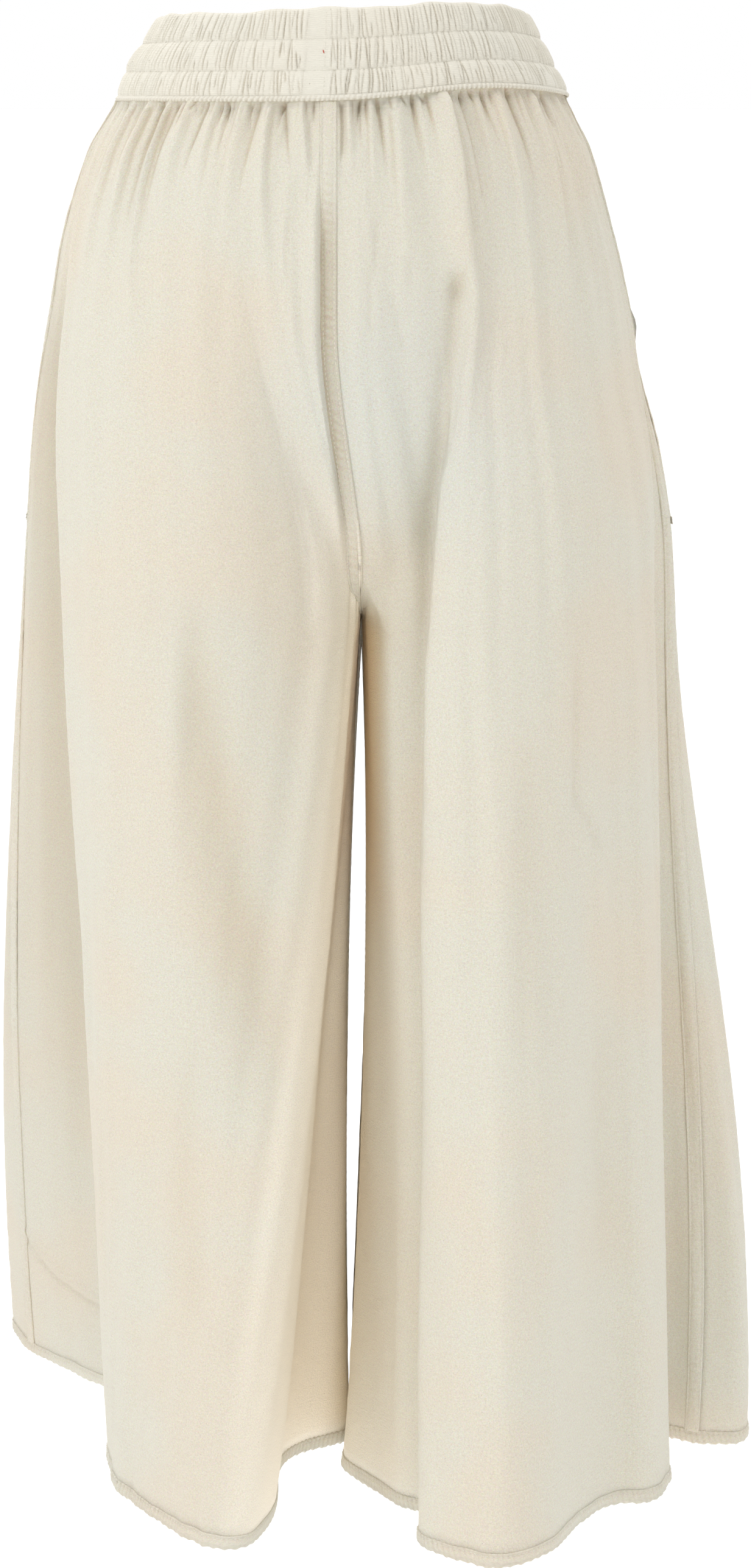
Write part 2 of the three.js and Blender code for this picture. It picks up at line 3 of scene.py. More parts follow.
import bpy
import numpy as np
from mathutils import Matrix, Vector


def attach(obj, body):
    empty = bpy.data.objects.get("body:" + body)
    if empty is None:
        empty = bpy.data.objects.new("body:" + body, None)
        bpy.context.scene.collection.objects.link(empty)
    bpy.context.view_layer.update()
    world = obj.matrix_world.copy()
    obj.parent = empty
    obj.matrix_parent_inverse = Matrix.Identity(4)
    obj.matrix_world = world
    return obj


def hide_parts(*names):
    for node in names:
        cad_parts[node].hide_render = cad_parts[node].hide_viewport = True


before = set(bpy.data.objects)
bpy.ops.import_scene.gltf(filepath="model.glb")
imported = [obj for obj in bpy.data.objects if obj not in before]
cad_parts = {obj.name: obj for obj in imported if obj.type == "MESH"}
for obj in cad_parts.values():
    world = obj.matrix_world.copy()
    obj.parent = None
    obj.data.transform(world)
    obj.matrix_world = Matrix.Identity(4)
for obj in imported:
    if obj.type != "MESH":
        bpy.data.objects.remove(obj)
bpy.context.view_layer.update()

# ------------------------------------------------------------------------------------------------
# The studio: a wide, plain pale floor well below the hanging garment, a long lens that looks a
# little down at its back, and soft light from large panels, strongest from the upper left.
# ------------------------------------------------------------------------------------------------
scene = bpy.context.scene
scene.view_settings.view_transform = "Standard"


def linear(hex_colour):
    """An sRGB hex colour as the linear values that a shader takes."""
    values = [int(hex_colour[i:i + 2], 16) / 255 for i in (1, 3, 5)]
    return [v / 12.92 if v <= 0.04045 else ((v + 0.055) / 1.055) ** 2.4 for v in values] + [1.0]


def node(tree, kind, settings=None, values=None, links=None):
    """Adds one shader node with its settings, the values of its inputs and the links into them."""
    added = tree.nodes.new(kind)
    for name, value in (settings or {}).items():
        setattr(added, name, value)
    for name, value in (values or {}).items():
        added.inputs[name].default_value = value
    for name, source in (links or {}).items():
        tree.links.new(source, added.inputs[name])
    return added


def new_material(name):
    """An empty material with its output and its principled shader."""
    material = bpy.data.materials.new(name)
    material.use_nodes = True
    tree = material.node_tree
    tree.nodes.clear()
    shader = tree.nodes.new("ShaderNodeBsdfPrincipled")
    out = tree.nodes.new("ShaderNodeOutputMaterial")
    tree.links.new(shader.outputs["BSDF"], out.inputs["Surface"])
    return material, tree, shader


bpy.ops.object.select_all(action="DESELECT")
LOOKS_DOWN = 10.504  # degrees below level
bpy.ops.object.camera_add(location=(-0.0205, 2.4, 0.011), rotation=(math.radians(90 - LOOKS_DOWN), 0, math.pi))
camera = bpy.context.object
camera.name = "camera"
camera.data.lens = 87.12
camera.data.sensor_width = 36
camera.data.clip_end = 400
scene.camera = camera

bpy.ops.mesh.primitive_circle_add(vertices=96, radius=180, fill_type="NGON", location=(0, 0, -1.35))
floor = bpy.context.object
floor.name = "studio_floor"
bpy.ops.object.transform_apply(location=True, rotation=True, scale=True)
# Matt white painted board: even and without gloss, so that it stays in the background.
painted_board, tree, shader = new_material("painted_board_matt")
shader.inputs["Base Color"].default_value = linear("#FDFDFC")
shader.inputs["Roughness"].default_value = 0.9
floor.data.materials.append(painted_board)

# The air of a white studio: it looks white all round, but lights the room mostly from straight above,
# so that the lamps model the folds.
world = bpy.data.worlds.new("studio_air")
scene.world = world
world.use_nodes = True
tree = world.node_tree
air = tree.nodes["Background"]
direction = node(tree, "ShaderNodeTexCoord")
sides = node(tree, "ShaderNodeSeparateXYZ", None, None, {"Vector": direction.outputs["Generated"]})
backdrop = node(tree, "ShaderNodeMapRange", {"interpolation_type": "SMOOTHSTEP"},
    {"From Min": 0.3, "From Max": -0.6, "To Min": 0.46, "To Max": 0.85}, {"Value": sides.outputs["Y"]})
overhead = node(tree, "ShaderNodeMapRange", {"interpolation_type": "SMOOTHSTEP"},
    {"From Min": 0.75, "From Max": 0.9, "To Max": 2.0}, {"Value": sides.outputs["Z"]})
strength = node(tree, "ShaderNodeMath", {"operation": "ADD"}, None,
    {0: backdrop.outputs["Result"], 1: overhead.outputs["Result"]})
seen = node(tree, "ShaderNodeLightPath")
shown = node(tree, "ShaderNodeMix", None, {"B": 1.0},
    {"Factor": seen.outputs["Is Camera Ray"], "A": strength.outputs["Value"]})
tree.links.new(shown.outputs["Result"], air.inputs["Strength"])
air.inputs["Color"].default_value = linear("#FFFFFF")

for name, place, size, watts in (
    ("key_panel", (1.6, 1.3, 0.9), 0.8, 12.5),
    ("fill_panel", (-0.35, 1.9, -0.9), 0.7, 3.8),
    ("front_panel", (0.8, -2.8, 0.6), 2.2, 14),
):
    bpy.ops.object.light_add(type="AREA", location=place)
    lamp = bpy.context.object
    lamp.name = name
    lamp.data.size = size
    lamp.data.energy = watts
    lamp.data.color = linear("#FBFCFF")[:3]
    aim = Vector((0.0, 0.0, -0.45)) - Vector(place)
    lamp.rotation_euler = aim.to_track_quat("-Z", "Y").to_euler()
# Light goes on from fold to fold, which keeps the deep ones bright and warm.
scene.cycles.diffuse_bounces = 8

# ------------------------------------------------------------------------------------------------
# The four panels: wide flared pieces of unbleached cotton and linen in a plain weave, cut as a
# back and a front for each leg, gathered into the waistband and left to hang in deep soft folds.
# ------------------------------------------------------------------------------------------------
MM = 0.001
CROTCH_Z = -322.0
HEM_Z = -870.0
HEM_DEPTH = 8.0  # the stitched hem below the panels
PANEL_WIDTH = 600.0  # of each panel at the hem, about
CLOTH = 1.0  # how thick it is drawn

# The body without folds: height, half width to the left and right side, depth to the back and front.
BODY = np.array([
    (60, 137, 134, 99, 92), (0, 140, 138, 102, 95), (-12, 146, 143, 106, 99), (-34, 158, 154, 113, 105),
    (-79, 173, 167, 122, 114), (-125, 182, 178, 128, 120), (-171, 191, 187, 131, 123), (-218, 198, 200, 132, 125),
    (-266, 203, 209, 131, 126), (-322, 208, 213, 130, 127), (-400, 214, 214, 130, 128),
], float)

# The fold lines of each leg: place across the panels (0 centre back or inside seam, 1 side seam, 2 the
# centre front or inside seam again), angle round the waist, height where the fold leaves the body, x
# and y at the crotch, x and y at the hem, and how far the line swells out between them.
LEFT_FOLDS = np.array([
    (0.00, 0, -40, -11.8, 20, -0.5, -8, 5),  # inside seam
    (0.05, 1.5, -40, -10.5, 44, -0.5, 22, 5),
    (0.10, 3.5, -40, -10, 60, 28, 44, 3),  # inner valley
    (0.14, 6, -40, -9, 72, 41, 75, 0),
    (0.18, 9, -40, -7, 84, 43, 138, -3),  # flank of the big flute
    (0.23, 14, -40, -2, 99, 53, 197, -4),
    (0.28, 19, -40, 13, 117, 71, 211, -3),  # its tip
    (0.38, 29, -40, 62, 141, 98, 188, 0),
    (0.49, 43, -40, 108, 137, 125, 146, 0),  # soft hollow
    (0.59, 59, -30, 148, 110, 144, 108, 0),
    (0.65, 71, -20, 165, 80, 149, 84, 0),
    (0.70, 76, -20, 174, 58, 152, 46, 0),  # outer edge of the flute, which hangs over what lies behind
    (0.75, 79, -20, 162, 34, 138, 4, 0),
    (0.80, 82, -20, 180, 8, 148, -58, 0),  # side valley
    (0.88, 85, -30, 199, -16, 182, -104, 5),
    (1.00, 90, -60, 208, -44, 223, -160, 10),  # side seam
    (1.08, 95, -60, 206, -68, 238, -206, 11.5),  # side peak
    (1.17, 103, -50, 193, -94, 227, -232, 8),
    (1.29, 115, -40, 162, -118, 184, -196, 0),  # front hollow
    (1.38, 126, -40, 132, -136, 152, -192, 0),
    (1.48, 139, -40, 100, -148, 118, -222, 0),  # front peak
    (1.57, 150, -40, 70, -145, 88, -212, 0),
    (1.66, 160, -40, 44, -132, 64, -172, 0),
    (1.75, 168, -40, 18, -112, 40, -166, 0),
    (1.84, 174, -40, -2, -80, 14, -136, 2),
    (1.93, 177.5, -40, -9.5, -30, 4, -72, 5),
    (2.00, 180, -40, -11.8, 20, -0.5, -8, 5),
])
RIGHT_FOLDS = np.array([
    (0.00, 0, -40, 12.2, 20, 3.5, -8, 6),  # inside seam
    (0.05, 1.5, -40, 12.6, 44, 3.5, 34, 6),
    (0.10, 4, -40, 17, 68, -1, 72, 8),
    (0.145, 7.5, -60, 30, 96, 25, 118, 3),  # corner of the thigh
    (0.18, 12, -80, 44, 104, 35, 138, 0),  # inner valley
    (0.215, 18, -100, 62, 114, 56, 158, 0),
    (0.255, 24, -110, 51, 146, 46, 196, 0),  # inner edge of the flute, which hangs over the valley
    (0.30, 28, -100, 66, 162, 62, 220, 0),
    (0.34, 31, -90, 80, 165, 78, 231, 0),
    (0.40, 37, -60, 102, 162, 98, 239, 0),  # its tip
    (0.48, 46, -40, 131, 148, 128, 212, 0),
    (0.55, 55, -40, 153, 128, 148, 166, 0),  # soft hollow
    (0.61, 63, -40, 170, 104, 168, 137, 0),
    (0.68, 72, -60, 184, 80, 195, 128, 0),
    (0.74, 79, -110, 193, 56, 208, 98, 0),
    (0.79, 82, -140, 195, 40, 207, 72, 0),  # outer edge, hanging over what lies behind
    (0.84, 85, -150, 187, 20, 196, 40, 0),
    (0.90, 87, -130, 197, 6, 205, 12, 3),  # side valley
    (1.00, 90, -60, 211, -8, 232, 25, 8),  # side seam
    (1.06, 94, -60, 212, -26, 258, 27, 11),
    (1.13, 100, -50, 209, -48, 266, -4, 12),  # side corner
    (1.22, 108, -40, 196, -76, 245, -56, 8),
    (1.32, 118, -40, 174, -106, 214, -104, 0),  # front hollow
    (1.40, 127, -40, 150, -130, 188, -152, 0),
    (1.50, 139, -40, 118, -148, 148, -204, 0),  # front peak
    (1.59, 150, -40, 86, -145, 110, -202, 0),
    (1.67, 160, -40, 60, -132, 80, -166, 0),
    (1.76, 168, -40, 38, -111, 48, -166, 0),
    (1.85, 174, -40, 22, -80, 14, -130, 3),
    (1.93, 177.5, -40, 14, -32, 4, -66, 5),
    (2.00, 180, -40, 12.2, 20, 3.5, -8, 6),
])


def mix(a, b, t):
    return a + (b - a) * t


def ease(t):
    t = np.clip(t, 0, 1)
    return t * t * (3 - 2 * t)


def bell(t):
    return np.exp(-t * t)


def spread(n):
    """A repeatable spread of values from 0 to 1, so that no two gathers are alike."""
    return np.abs(np.sin(np.asarray(n, float) * 12.9898 + 4.1) * 43758.5453) % 1


def curve_through(at, columns, value, ring=False):
    """Smooth curves through rows: the columns' values where the place `at` has the given value."""
    at, columns = np.asarray(at, float), np.asarray(columns, float)
    order = np.argsort(at, kind="stable")
    at, columns = at[order], columns[order]
    last = len(at) - 1
    before, after = np.r_[0, 0:last], np.r_[1:last + 1, last]
    run = at[after] - at[before]
    if ring:
        before[0], after[last] = last - 1, 1
        run[0], run[last] = at[1] - at[last - 1] + at[last] - at[0], at[1] - at[last - 1] + at[last] - at[0]
    slopes = (columns[after] - columns[before]) / run[:, None]
    value = np.asarray(value, float)
    i = np.searchsorted(at[1:last], value, side="left")
    step = at[i + 1] - at[i]
    t = np.clip((value - at[i]) / step, 0, 1)[..., None]
    step = step[..., None]
    return ((2 * t ** 3 - 3 * t ** 2 + 1) * columns[i] + (t ** 3 - 2 * t ** 2 + t) * step * slopes[i]
            + (3 * t ** 2 - 2 * t ** 3) * columns[i + 1] + (t ** 3 - t ** 2) * step * slopes[i + 1])


# Gathers: angle round the waist at the seam and at the gather's foot, length down the leg, height (a
# valley is below 0), and half width towards the side and towards the middle, in degrees.
LEFT_GATHERS = [
    (3.5, 3.0, 30, 1.6, 1.3, 1.0), (8.5, 5.0, 60, 2.6, 2.0, 1.6), (13.2, 9.3, 48, -2.6, 1.5, 1.2),
    (16.8, 15.0, 120, 2.6, 2.2, 1.8), (19.2, 21.5, 76, -2.6, 2.0, 1.6), (24.0, 24.0, 150, 2.4, 2.2, 2.4),
    (28.2, 27.2, 46, -1.6, 1.0, 1.2), (31.5, 31.0, 80, 1.7, 2.0, 1.6), (34.2, 36.0, 56, -2.0, 1.2, 1.2),
    (40.0, 39.0, 130, 2.2, 3.4, 2.6), (46.8, 45.6, 175, 2.8, 1.5, 1.1), (44.4, 44.0, 120, -1.5, 1.4, 1.6),
    (50.4, 50.0, 110, -2.4, 1.6, 1.8), (55.0, 54.2, 150, 2.6, 2.0, 1.5), (59.6, 58.4, 60, -1.6, 1.6, 1.6),
    (64.0, 63.0, 160, 2.4, 2.2, 1.6), (69.0, 68.0, 70, -1.6, 1.5, 1.5), (74.0, 72.0, 130, 2.0, 2.2, 1.6),
    (80.0, 78.5, 60, -1.4, 1.6, 1.6), (85.0, 84.0, 90, 1.8, 1.8, 1.8),
]
RIGHT_GATHERS = [
    (2.6, 3.2, 52, 2.4, 1.2, 1.2), (5.8, 5.4, 34, -2.0, 0.9, 0.9), (8.0, 8.0, 70, 1.6, 1.4, 1.0),
    (10.0, 10.8, 46, -2.2, 1.2, 1.0), (14.0, 14.0, 120, 1.9, 2.2, 1.8), (18.4, 18.6, 40, -1.2, 1.4, 1.4),
    (20.4, 20.6, 60, 1.2, 1.2, 1.2), (22.4, 22.8, 24, -1.6, 0.7, 0.8), (27.6, 28.4, 240, 4.2, 1.1, 3.6),
    (31.6, 33.4, 130, -1.9, 2.8, 1.4), (35.6, 36.4, 70, 1.3, 1.4, 1.4), (38.0, 39.4, 38, -1.6, 0.9, 1.1),
    (42.5, 43.0, 140, 2.2, 2.4, 2.2), (47.0, 47.6, 64, -2.2, 1.1, 1.5), (50.6, 50.4, 60, 1.3, 1.4, 1.4),
    (56.6, 53.4, 190, 2.8, 1.0, 2.4), (60.6, 58.0, 70, -1.8, 1.8, 1.2), (64.6, 62.0, 60, 1.4, 1.4, 1.6),
    (71.0, 63.6, 210, 3.0, 1.2, 2.4), (75.0, 70.0, 80, -1.8, 1.8, 1.2), (80.0, 77.0, 110, 1.8, 1.8, 1.8),
    (85.0, 84.0, 60, 1.4, 1.6, 1.6),
]
FRONT_GATHERS = 13  # between the side seam and the centre front, on each leg
PINCHES = 104  # round half the waist


def front_gathers(seed):
    """The gathers of a front panel: no two alike in place, height, width and length."""
    made = []
    for i in range(FRONT_GATHERS):
        pitch = 90 / FRONT_GATHERS
        a, b, c, d = (float(spread(seed + 17 * i + k)) for k in range(4))
        angle = 90 + (i + 0.5 + 0.4 * (a - 0.5)) * pitch
        length, height = mix(70, 220, b ** 1.5), mix(2.0, 3.6, c)
        made.append((angle, angle + 2 * (b - 0.5), length, height, mix(1.2, 2.4, d), mix(2.4, 1.3, d)))
        made.append((angle + 0.5 * pitch, angle + 0.5 * pitch, mix(24, 70, d), -mix(1.2, 2.4, b), 1.1, 1.1))
    return made


def pinches(seed):
    """The short sharp creases just under the band, between and across the gathers."""
    made = []
    for i in range(PINCHES):
        a, b, c, d = (float(spread(seed + 23 * i + k)) for k in range(4))
        angle = (i + 0.5 + 0.9 * (a - 0.5)) * 180 / PINCHES
        length, height = mix(5, 28, c ** 2), mix(-0.6, -1.9, d * d)
        made.append((angle, angle + 3.0 * (b - 0.5), length, height, mix(0.26, 0.55, b), mix(0.55, 0.26, b)))
    return made


# Creases and soft folds lower down: the leg, the range of u that it lies in, its path as x and z, its
# height (a trough is below 0), its half width to the wearer's left and right, and how far each end fades.
LONG_CREASES = [
    # the big fold of the right flute starts in a knot beside the long gather and runs down its inner edge
    ("right", (0.16, 0.42),
        ((-79, -100), (-76, -134), (-70, -191), (-63, -227), (-58, -280), (-54, -334), (-51, -480), (-51, -620)),
        3.4, 1.8, 15, (22, 170)),
    ("right", (0.12, 0.34), ((-71, -96), (-69, -132), (-62, -191), (-55, -240), (-49, -330), (-45, -470)), -3.0,
        6.5, 2.6, (16, 200)),
    ("right", (0.14, 0.40), ((-73, -96), (-71, -112), (-70, -124)), -2.6, 4, 2.4, (10, 12)),
    ("right", (0.30, 0.60), ((-141, -300), (-141, -415), (-160, -455), (-184, -500)), -1.4, 2.6, 2.2, (60, 50)),
    ("right", (0.30, 0.60), ((-137, -300), (-137, -415), (-156, -455), (-180, -500)), 1.0, 4, 3, (60, 50)),
    ("right", (0.40, 0.68), ((-125, -560), (-118, -650), (-121, -740)), -0.5, 5, 4, (60, 60)),
    ("right", (0.34, 0.66), ((-96, -560), (-104, -640), (-99, -720), (-108, -790)), 0.5, 4, 6, (60, 60)),
    ("left", (0.20, 0.48), ((101, -260), (88, -360), (72, -440), (58, -500), (48, -560), (46, -640)), -5.0, 28,
        18, (110, 130)),
    ("left", (0.18, 0.44), ((70, -700), (72, -742), (73, -757)), 1.6, 7, 5, (40, 6)),
    ("left", (0.18, 0.44), ((77, -730), (74, -752), (71, -760)), -1.4, 2.4, 2.4, (12, 7)),
    ("left", (0.30, 0.62), ((121, -240), (118, -340), (121, -450), (128, -560)), 1.4, 12, 9, (70, 90)),
    ("left", (0.24, 0.56), ((92, -520), (95, -640), (90, -760)), -1.6, 13, 9, (90, 60)),
    ("right", (0.36, 0.66), ((-112, -360), (-110, -480), (-114, -600)), -1.8, 9, 14, (70, 90)),
    ("right", (0.44, 0.76), ((-160, -520), (-162, -640), (-168, -740)), -1.6, 8, 13, (80, 60)),
    # small ones beside the centre seam, and the tuck that the band has caught there
    ("right", (0.00, 0.12), ((0.5, -2), (-0.4, -16), (0.2, -40)), -2.4, 0.5, 2.2, (3, 12)),
    ("right", (0.03, 0.25), ((-23, -66), (-21.8, -78), (-21, -96), (-20, -108)), -1.1, 2.0, 1.2, (12, 16)),
    ("right", (0.03, 0.25), ((-17, -90), (-17.4, -108), (-17.8, -150)), -0.9, 2.2, 1.4, (12, 22)),
    ("right", (0.06, 0.30), ((-39, -86), (-40.6, -98), (-41, -116)), -0.9, 1.2, 2.0, (10, 12)),
    ("right", (0.06, 0.30), ((-29, -112), (-32, -121), (-35, -138), (-39, -158)), -0.9, 1.2, 2.0, (12, 18)),
    ("left", (0.08, 0.30), ((30, -60), (33, -90), (31, -128)), -0.9, 1.4, 2.6, (16, 26)),
    ("left", (0.20, 0.45), ((66, -70), (72, -110), (74, -160)), -0.9, 1.6, 3.2, (20, 40)),
    # the like on the fronts, which face the other way
    ("left", (1.40, 1.72), ((62, -250), (66, -360), (74, -480), (84, -600)), -1.4, 10, 13, (80, 110)),
    ("left", (1.20, 1.50), ((128, -330), (132, -460), (140, -590)), 1.0, 9, 12, (80, 90)),
    ("right", (1.38, 1.74), ((-66, -240), (-72, -360), (-80, -470), (-92, -610)), -1.4, 13, 10, (80, 110)),
    ("right", (1.22, 1.52), ((-140, -320), (-146, -450), (-158, -600)), 1.0, 12, 9, (80, 90)),
]
# Creases that run across: the same, with the path's half widths above and below it.
CROSS_CREASES = [
    ("left", (0.80, 1.30), ((150, -812), (176, -808), (196, -802), (212, -791), (228, -772)), -1.5, 1.6, 2.2,
        (8, 10)),
    ("left", (0.80, 1.30), ((150, -806), (176, -802), (196, -796), (212, -785), (228, -766)), 1.1, 3.2, 2.2, (8, 10)),
    ("right", (0.20, 0.50), ((-56, -205), (-70, -214), (-84, -217)), -0.5, 3, 3, (10, 12)),
    ("left", (0.15, 0.40), ((20, -250), (44, -262), (66, -262)), -0.45, 4, 4, (16, 18)),
    ("left", (1.50, 1.85), ((10, -262), (34, -250), (60, -252)), -0.6, 4, 4, (14, 18)),
    ("right", (1.50, 1.85), ((-12, -256), (-36, -246), (-64, -250)), -0.6, 4, 4, (14, 18)),
]


def make_leg(name, sign, bow_low, cleft_back, folds, gathers, seed):
    """What one leg is built from; sign is the side that it lies on."""
    gathers = [*gathers, *front_gathers(seed), *pinches(seed + 400)]
    return {"name": name, "sign": sign, "bow_low": bow_low, "cleft_back": cleft_back, "cleft_front": (0.26, 0.4),
            "folds": folds, "gathers": gathers, "seed": seed}


LEGS = {
    "left": make_leg("left", 1, 0, (0.26, 0.4), LEFT_FOLDS, LEFT_GATHERS, 1),
    "right": make_leg("right", -1, 1, (0.17, 0.27), RIGHT_FOLDS, RIGHT_GATHERS, 300),
}
# the edges that carry a felled strip, from which height to which
LEGS["left"]["fells"] = {"back": (5, -900), "side_back": (5, -900), "side_front": (-90, -266)}
LEGS["right"]["fells"] = {"back": (-324, -900), "side_back": (5, -900), "side_front": (-90, -266), "front": (5, -316)}


def waist_angle(leg, u):
    return curve_through(leg["folds"][:, 0], leg["folds"][:, 1:2], u)[..., 0]


def centre_x(z):
    """The centre seam leaves the middle of the waist and swings to the wearer's right at the crotch."""
    return mix(3, -12, ease((-130 - z) / 160))


def seam_rise(x, y):
    """The waist seam isn't quite level: it rides up over the right hip."""
    return 8 * bell((x + 92) / 62) * ease((y + 60) / 120)


def plain_body(leg, angle, z):
    """The cloth without folds, round the body."""
    sizes = curve_through(BODY[:, 0], BODY[:, 1:], z)
    across, along = np.sin(np.radians(angle)), np.cos(np.radians(angle))
    seam = centre_x(z) + leg["sign"] * 0.2
    side = sizes[..., 0] if leg["sign"] > 0 else sizes[..., 1]
    depth = np.where(angle < 90, sizes[..., 2], sizes[..., 3])
    return seam * (1 - across) + leg["sign"] * side * across, along * depth


def hanging_leg(leg, u, z):
    """The leg below the crotch, each fold line hanging straight but for its swell."""
    f = curve_through(leg["folds"][:, 0], leg["folds"][:, 2:], u, ring=True)
    t = (CROTCH_Z - z) / (CROTCH_Z - HEM_Z)
    inside = bell(u / 0.12) + bell((2 - u) / 0.12)
    even = 4 * t * (1 - t) * (1 + 0.35 * inside * (1 - 2 * t))
    swell = f[..., 5] * mix(even, 6.75 * t * t * (1 - t), leg["bow_low"] * (1 - inside))
    return leg["sign"] * (mix(f[..., 1], f[..., 3], t) + swell), mix(f[..., 2], f[..., 4], t)


def folded_cloth(leg, u, z):
    """The cloth's outer face with its big folds: below the crotch each fold line hangs straight."""
    u, z = np.broadcast_arrays(np.asarray(u, float), np.asarray(z, float))
    hang = hanging_leg(leg, u, z)
    angle = waist_angle(leg, u)
    start = curve_through(leg["folds"][:, 0], leg["folds"][:, 2:3], u, ring=True)[..., 0]
    level = np.full_like(z, CROTCH_Z)
    plain, plain_end, plain_above = (plain_body(leg, angle, h) for h in (z, level, level + 1))
    end, below = hanging_leg(leg, u, level), hanging_leg(leg, u, level - 1)
    t = np.clip((start - z) / (start - CROTCH_Z), 0, 1)
    near_seam = np.minimum(u, 2 - u)
    near = np.where(u < 1, leg["cleft_back"][0], leg["cleft_front"][0])
    far = np.where(u < 1, leg["cleft_back"][1], leg["cleft_front"][1])
    cleft = 1 - ease((near_seam - near) / (far - near))
    # Between the legs the cloth sinks evenly towards the crotch. Close to it the centre seam dives behind
    # the left leg's edge, and the right thigh turns under along a line that runs down and outwards.
    j = np.clip((-150 - z) / (-150 - CROTCH_Z), 0, 1)
    dive = 100 * (1 - np.sqrt(1 - np.clip((-284 - z) / (-284 - CROTCH_Z), 0, 1) ** 2))
    beside = np.abs(plain[0] + (end[0] - plain_end[0]) * ease(t) - centre_x(z))
    along_line = np.clip(1 - beside / np.clip(0.35 * (-282 - z), 0.2, 16), 0, 1) ** 0.7
    inside = np.where((u < 1) & (leg["sign"] < 0), along_line, 1 - ease((beside - 8) / 5))
    out = []
    for axis in (0, 1):
        offset = end[axis] - plain_end[axis]
        drift = below[axis] - end[axis] - (plain_end[axis] - plain_above[axis])
        length = (start - CROTCH_Z) * (1 - bell(near_seam / 0.14))
        fold = offset * ease(t) + drift * length * (t ** 3 - t ** 2)
        if axis:
            inwards = np.where(u < 1, -offset, offset)
            floor, full = 45 * j * j + dive * inside + 0.01, np.maximum(inwards, 0.01)
            # the thigh of the left leg rounds softly into it
            round_off = 8 - 5 * ease((near_seam - 0.04) / 0.09) * (leg["sign"] > 0)
            sunk = full * floor / (full ** round_off + floor ** round_off) ** (1 / round_off)
            fold = mix(fold, np.where(inwards > 0, np.where(u < 1, -sunk, sunk), fold), cleft)
        out.append(np.where(z <= CROTCH_Z, hang[axis], plain[axis] + fold))
    return out


def gather_lift(leg, u, z):
    """How far the gathers raise the cloth: pinched by the band, full just below it, then dying away."""
    angle = waist_angle(leg, u)
    lift = np.zeros_like(z)
    pinch = mix(0.3, 1, ease(-z / 7))
    for top, foot, length, height, to_side, to_middle in leg["gathers"]:
        here = mix(top, foot, np.clip(-z / length, 0, 1.2))
        off = angle - here
        towards_side = off > 0 if top < 90 else off < 0
        sharp = 0.5 if length > 36 else 1.0
        width = np.where(towards_side, to_side * (sharp if to_side < to_middle else 1),
            to_middle * (sharp if to_side >= to_middle else 1))
        width = width * mix(1, 1.45, np.clip(-z / 200, 0, 1))
        shape = bell(off / width) if height > 0 else np.exp(-np.abs(off / width) ** 1.15)
        lift += height * shape * (1 - ease((-z - 4) / length))
    full = mix(1.0, 1.9, ease((78 - np.abs(90 - np.abs(90 - angle))) / 40))
    return (full * lift - 0.9 * (1 - ease((-z - 8) / 120))) * pinch


# The edges of the two panels: where each lies across them, and which way its panel goes on from there.
EDGES = {"back": (0, 1), "side_back": (1, -1), "side_front": (1, 1), "front": (2, -1)}
REACH_TOP, REACH_STEP = 10.0, 4.0  # heights at which the way in from an edge is measured
REACH_ROOT, REACH_PLACES = 0.67, 90  # the places, which lie closest together by the edge


def reach_of_edges(leg):
    """For each edge of the panels, at each height: the millimetres along the cloth to places further
    and further in from it, and the other way round, for each half millimetre."""
    heights = np.arange(REACH_TOP, HEM_Z - 20, -REACH_STEP)
    inwards = np.linspace(0, REACH_ROOT, REACH_PLACES + 1) ** 2
    for edge, (at, way) in EDGES.items():
        x, y = folded_cloth(leg, at + way * inwards[None], heights[:, None])
        run = np.cumsum(np.hypot(np.diff(x, prepend=x[:, :1]), np.diff(y, prepend=y[:, :1])), 1)
        leg["run_" + edge] = run
        leg["share_" + edge] = np.array([np.interp(np.arange(0, 60, 0.5), row, inwards) for row in run])


def look_up(table, row, column):
    """Values between a table's rows and columns."""
    row, column = np.clip(row, 0, table.shape[0] - 1.001), np.clip(column, 0, table.shape[1] - 1.001)
    r, c = row.astype(int), column.astype(int)
    return mix(mix(table[r, c], table[r, c + 1], column - c),
        mix(table[r + 1, c], table[r + 1, c + 1], column - c), row - r)


def from_edge(leg, edge, u, z):
    """Millimetres from an edge of a panel, along the cloth."""
    column = np.sqrt(np.abs(u - EDGES[edge][0])) / REACH_ROOT * REACH_PLACES
    return look_up(leg["run_" + edge], (REACH_TOP - z) / REACH_STEP, column)


def at_edge(leg, edge, s, z):
    """The place across the panels that lies s millimetres in from an edge."""
    at, way = EDGES[edge]
    return at + way * look_up(leg["share_" + edge], (REACH_TOP - z) / REACH_STEP, 2.0 * s + 0 * z)


FELL = 9.0  # width of the felled seams


def seam_lift(leg, u, z, s):
    """The centre seams lie in a shallow channel: on the strip's side the cloth stands over it like a step,
    and on the other side it slopes away. Here s is the distance from the seam in millimetres."""
    down = ease((-40 - z) / 50) * ease((z + 300) / 70)
    step = (leg["sign"] > 0) == (u < 1)
    channel = np.where(step, 1 - ease((s - FELL - 0.2) / 2.6), 1 - ease(s / 12))
    lip = np.where(step, 2.4 * bell((s - FELL - 5) / 5), 0.4 * bell((s - 12) / 6))
    return (lip - 5.0 * channel) * down


